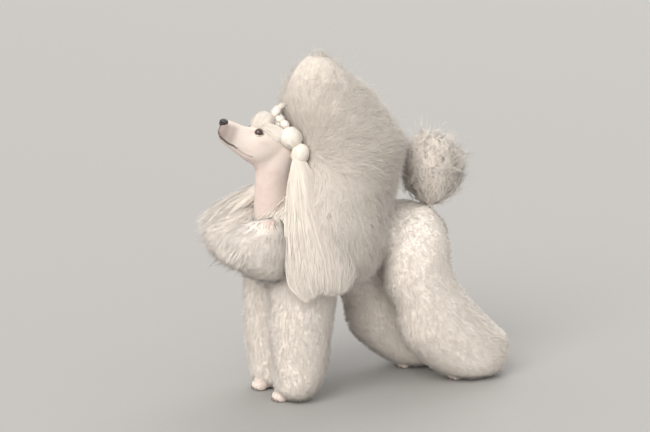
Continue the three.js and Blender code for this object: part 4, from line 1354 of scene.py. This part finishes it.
# Sideways, forward and up on the head, in metres, with the hair's half width and half height there
templeWay = [((0.036, 0.000, 0.028), 14, 5), ((0.044, -0.024, 0.020), 24, 7),
             ((0.049, -0.050, 0.014), 26, 9), ((0.052, -0.082, 0.014), 16, 10)]
sprayHair = {"seed": 22, "count": 420, "rings": 4, "wide": 1.5, "inner": 0.1, "stray": 1.5, "shorter": 0.1,
             "flat": 0.2, "facing": (0, -1, 1), "sink": 0.2}
sprayWay = [((0, -0.048, 0.084), 9, 8), ((0, -0.050, 0.092), 9, 8),
            ((0, -0.058, 0.104), 12, 10), ((0, -0.066, 0.112), 9, 7)]
fillings = [
    bubble("topknotFront", onHead(0, -0.016, 0.034), onto(0, -0.5, 0.87), (1, 0, 0), (36, 42, 31),
           dict(knot, seed=21, count=1000, blunt=0.6, coat=maneCoat), ["topknot_front"]),
    bubble("topknotCrown", onHead(0, -0.062, 0.042), onto(0, -0.9, -0.43), (1, 0, 0), (28, 36, 20),
           dict(knot, seed=23, count=360), ["topknot_crown"]),
    bubble("topknotTied", onHead(0, -0.046, 0.078), onto(0, -0.25, 0.97), (1, 0, 0), (21, 17, 13.5),
           dict(knot, seed=29, count=320, blunt=0.6)),
]
for side, name in ((1, "left"), (-1, "right")):
    fillings += [
        bubble("sideKnot_" + name, onHead(side * 0.054, -0.100, 0.017), onto(side * 0.05, -0.95, -0.3),
               (0, 0, 1), (36, 34, 31), dict(knot, seed=24), ["puff_" + name]),
        bubble("lowKnot_" + name, np.array([side * 0.074, -0.236, 0.800]), (side * 0.05, -0.30, -0.95),
               (0, 1, 0), (32, 29, 25), dict(knot, seed=25, count=520)),
        bubble("budKnot_" + name, onHead(side * 0.028, -0.056, 0.060), onto(side * 0.3, -0.9, -0.1),
               (0, 0, 1), (15, 13, 13), dict(budKnot, seed=26)),
        bubble("smallKnot_" + name, onHead(side * 0.042, -0.070, 0.050), onto(side * 0.4, -0.8, -0.3),
               (0, 0, 1), (15, 14, 13), dict(budKnot, seed=27)),
    ]
    way = [(onHead(side * x, forward, up), wide, high) for (x, forward, up), wide, high in templeWay]
    locks("templeHair_" + name, way, (0, 0, 1),
          dict(templeHair, seed=28 + side, facing=(side, -0.2, 0.3)), earCoat)
locks("topknotSpray", [(onHead(*spot), wide, high) for spot, wide, high in sprayWay], (1, 0, 0), sprayHair,
      earCoat, ["topknot_spray"])
knotCores = joined("knotCores", fillings)
print("topknot ready")

# The ears' hanging hair
fringe = {"count": 2800, "rings": 4, "wide": 1.25, "inner": 0.75, "stray": 4, "startBy": 0.35, "shorter": 0.4,
          "curl": 5, "curlSize": 110, "upright": False, "sink": 0.4, "flat": 0.65}
veil = dict(fringe, count=1300, inner=0.8, startBy=0.7, shorter=0.15)
fringeWay = {"root": (74, -246, 806), "rootSize": (16, 9), "back": 6, "wider": 1.12, "thicker": 1.1}
for side, name in ((1, "Left"), (-1, "Right")):
    x, y, z = fringeWay["root"]
    stations = [(np.array([x * side, y, z]) * mm, *fringeWay["rootSize"])]
    for z, front, back, thick, x in reversed(ear[:-1]):
        middle = np.array([x * side, (front + back) / 2 + fringeWay["back"], z]) * mm
        stations.append((middle, (back - front) / 2 * fringeWay["wider"], thick * fringeWay["thicker"]))
    facing = (side, -0.35, 0.15)
    locks("earFringe" + name, stations, (0, 1, 0), dict(fringe, seed=30 + side, facing=facing), earCoat,
          ["ear_" + name.lower()])
    locks("earVeil" + name, stations, (0, 1, 0), dict(veil, seed=40 + side, facing=facing), earCoat)

# The ruff flows from under the collar over the chest: centres, half widths and half heights in millimetres
ruff = {"rings": 4, "wide": 1.15, "inner": 0.3, "stray": 8, "startBy": 0.6, "shorter": 0.6, "curl": 4,
        "curlSize": 60, "flat": 0.5, "sink": 0.6, "mark": 0.3}
ruffFlows = [
    {"name": "ruffFar", "facing": (-0.5, -0.4, 0.8), "count": 1800,
     "way": [((-84, -270, 690), 24, 22), ((-108, -345, 640), 38, 34),
             ((-118, -420, 590), 50, 44), ((-124, -478, 530), 60, 54)]},
    {"name": "ruffNear", "facing": (0.6, -0.4, 0.7), "count": 1400,
     "way": [((66, -336, 546), 24, 14), ((90, -385, 552), 44, 24),
             ((102, -445, 530), 54, 30), ((104, -484, 480), 58, 30)]},
    {"name": "ruffMiddle", "facing": (0, -0.7, 0.7), "count": 900,
     "way": [((0, -350, 544), 34, 12), ((0, -395, 550), 50, 20),
             ((0, -444, 520), 56, 24), ((0, -468, 460), 56, 22)]},
    {"name": "ruffNearBack", "facing": (0.9, -0.4, 0.3), "count": 1000,
     "way": [((104, -262, 584), 16, 14), ((114, -308, 568), 26, 20),
             ((124, -352, 528), 40, 30), ((130, -372, 465), 50, 36)]},
]
for number, flow in enumerate(ruffFlows):
    way = [(np.array(centre) * mm, wide, high) for centre, wide, high in flow["way"]]
    spec = dict(ruff, seed=60 + number, count=flow["count"], facing=flow["facing"])
    locks(flow["name"], way, (1, 0, 0), spec, earCoat)

# Collar
collarSettings = {
    "front": 586, "back": 640, "radius": 3.5, "wire": 1.15, "stretch": 1.4, "slim": 0.9, "clear": 4.0,
    "steel": (0.56, 0.56, 0.58), "wear": 400.0, "worn": (0.3, 0.7), "roughness": (0.12, 0.32),
}


def chainCollar():
    # flat links laid round the neck, each turned a quarter from the last
    at, _ = outline(neck)
    steel = material("chainSilver", 0.2, collarSettings["steel"], Metallic=1.0)
    wear = spread(steel.node_tree, noise(steel.node_tree, collarSettings["wear"]),
                  *collarSettings["worn"], *collarSettings["roughness"])
    feed(steel, "Roughness", wear)
    heights = [row[0] for row in neck]
    number, aheadBy = 721, 3
    fine = np.linspace(0, 2 * math.pi, number)
    level = np.interp(np.sin(fine), (-1, 1), (collarSettings["back"], collarSettings["front"]))
    share = np.interp(level, heights, np.linspace(0, 1, len(heights)))
    outward = unit(at(fine, share, 1.0) - at(fine, share, 0.0))
    path = at(fine, share, 1.0) + outward * collarSettings["clear"] * mm
    length = np.append(0, np.cumsum(np.linalg.norm(np.diff(path, axis=0), axis=1)))
    pitch = 2 * (collarSettings["radius"] * collarSettings["stretch"] - collarSettings["wire"]) * mm
    count = int(length[-1] / pitch / 2) * 2

    def onPath(where, table):
        return np.array([np.interp(where, np.arange(number), column) for column in table.T])

    links = []
    for step in range(count):
        where = np.interp((step + 0.5) / count * length[-1], length, np.arange(number))
        spot, nextSpot, facing = onPath(where, path), onPath(where + aheadBy, path), onPath(where, outward)
        bpy.ops.mesh.primitive_torus_add(major_segments=16, minor_segments=6,
                                         major_radius=collarSettings["radius"] * mm,
                                         minor_radius=collarSettings["wire"] * mm)
        link = bpy.context.object
        link.scale = (collarSettings["stretch"], collarSettings["slim"], 1)
        bpy.ops.object.transform_apply(location=False, rotation=False, scale=True)
        ahead = Vector(unit(nextSpot - spot))
        flat = Vector(facing) if step % 2 else ahead.cross(Vector(facing))
        flat = (flat - ahead * flat.dot(ahead)).normalized()
        turnTo = Matrix((ahead, flat.cross(ahead), flat)).transposed().to_4x4()
        link.matrix_world = Matrix.Translation(Vector(spot)) @ turnTo
        bpy.ops.object.transform_apply(location=True, rotation=True, scale=True)
        links.append(link)
    made = joined("chainCollar", links)
    made.data.materials.append(steel)
    bpy.ops.object.shade_smooth()
    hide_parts("collar")
    return made


chain = chainCollar()
print("collar ready")

# Short hair of the face, neck and feet: counts, lengths and where it grows, in millimetres
downSettings = {
    "seed": 8, "wide": 0.62, "rise": 0.1, "jitter": 0.6, "stray": 0.12, "length": (0.6, 1.3), "root": 0.4,
    "pinkShare": 0.2, "darkShare": 0.8,
    "face": {"count": 9500, "long": 3.6}, "neck": {"count": 5500, "long": 6.0},
    "feet": {"count": 2200, "long": 4.0},
    "lipWide": 2.2, "lipFrom": 30, "noseFrom": 112, "eyeEdge": 1.35, "faceFrom": -100, "faceAbove": 775,
    "neckFrom": 570, "neckTo": 790, "neckBack": -250, "neckSide": 75, "footFrom": 6, "footTo": 60,
}


def shortHair(name, spec, region, lie):
    random = np.random.default_rng(downSettings["seed"])
    count = spec["count"]
    found = {}
    for key, width in (("center", 3), ("normal", 3), ("area", 1)):
        values = np.empty(len(skin.data.polygons) * width)
        skin.data.polygons.foreach_get(key, values)
        found[key] = values.reshape(-1, width)
    weight = found["area"][:, 0] * region(found["center"])
    picked = random.choice(len(weight), count, p=weight / weight.sum())
    normal = found["normal"][picked]
    size = np.sqrt(found["area"][picked])
    aside = np.cross(normal, unit(random.normal(size=(count, 3))))
    root = found["center"][picked] + aside * size * downSettings["jitter"]
    way = lie + random.normal(0, downSettings["stray"], (count, 3))
    way = unit(way - normal * (way * normal).sum(-1, keepdims=True)) + normal * downSettings["rise"]
    long = spec["long"] * mm * random.uniform(*downSettings["length"], count)
    tip = root + unit(way) * long[:, None]
    x, forward, up = headPlace(root)
    home = np.stack([(np.arctan2(up, x) / (2 * math.pi)) % 1, np.clip(forward * 2 + 0.7, 0, 1)], -1)
    controls = [root - normal * downSettings["root"] * mm, tip]
    width = uneven(downSettings["wide"], count, random)
    made = tuftMesh(name, controls, normal, width, home, random, np.zeros(count))
    for key, values in markings(root).items():
        share = downSettings["pinkShare"] if key == "pink" else downSettings["darkShare"]
        painted(made, key, np.repeat(values * share, len(made.data.vertices) // count))
    made.data.materials.append(clippedSkin)
    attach(made, "root")


def onFace(points):
    x, forward, up = headPlace(points)
    away, _ = mouthDistance(forward, up)
    onLip = (away < downSettings["lipWide"] * mm) & (forward > downSettings["lipFrom"] * mm)
    bare = onLip | (forward > downSettings["noseFrom"] * mm)
    for side in (1, -1):
        _, _, c, edge = eyeDistance(points, side)
        bare |= (edge < downSettings["eyeEdge"]) & (c > 0)
    near = (points[:, 2] > downSettings["faceAbove"] * mm) & (forward > downSettings["faceFrom"] * mm)
    return near & ~bare


def onNeck(points):
    x, y, z = points.T / mm
    level = (z > downSettings["neckFrom"]) & (z <= downSettings["neckTo"])
    return level & (y < downSettings["neckBack"]) & (np.abs(x) < downSettings["neckSide"])


def onFeet(points):
    z = points[:, 2] / mm
    return (z > downSettings["footFrom"]) & (z < downSettings["footTo"])


shortHair("faceHair", downSettings["face"], onFace, onto(0, -1, -0.12))
shortHair("neckHair", downSettings["neck"], onNeck, unit(np.array([0, 0.1, -1])))
shortHair("footHair", downSettings["feet"], onFeet, unit(np.array([0, -1, -0.3])))

for item in (chain, skin, claws, woolCoat, knotCores, *facePieces):
    item.data.transform(Matrix.Translation(Vector(place)))
    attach(item, "root")
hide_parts("head", "neck", "tail", "paw_fore_left", "paw_fore_right", "paw_hind_left",
            "paw_hind_right")
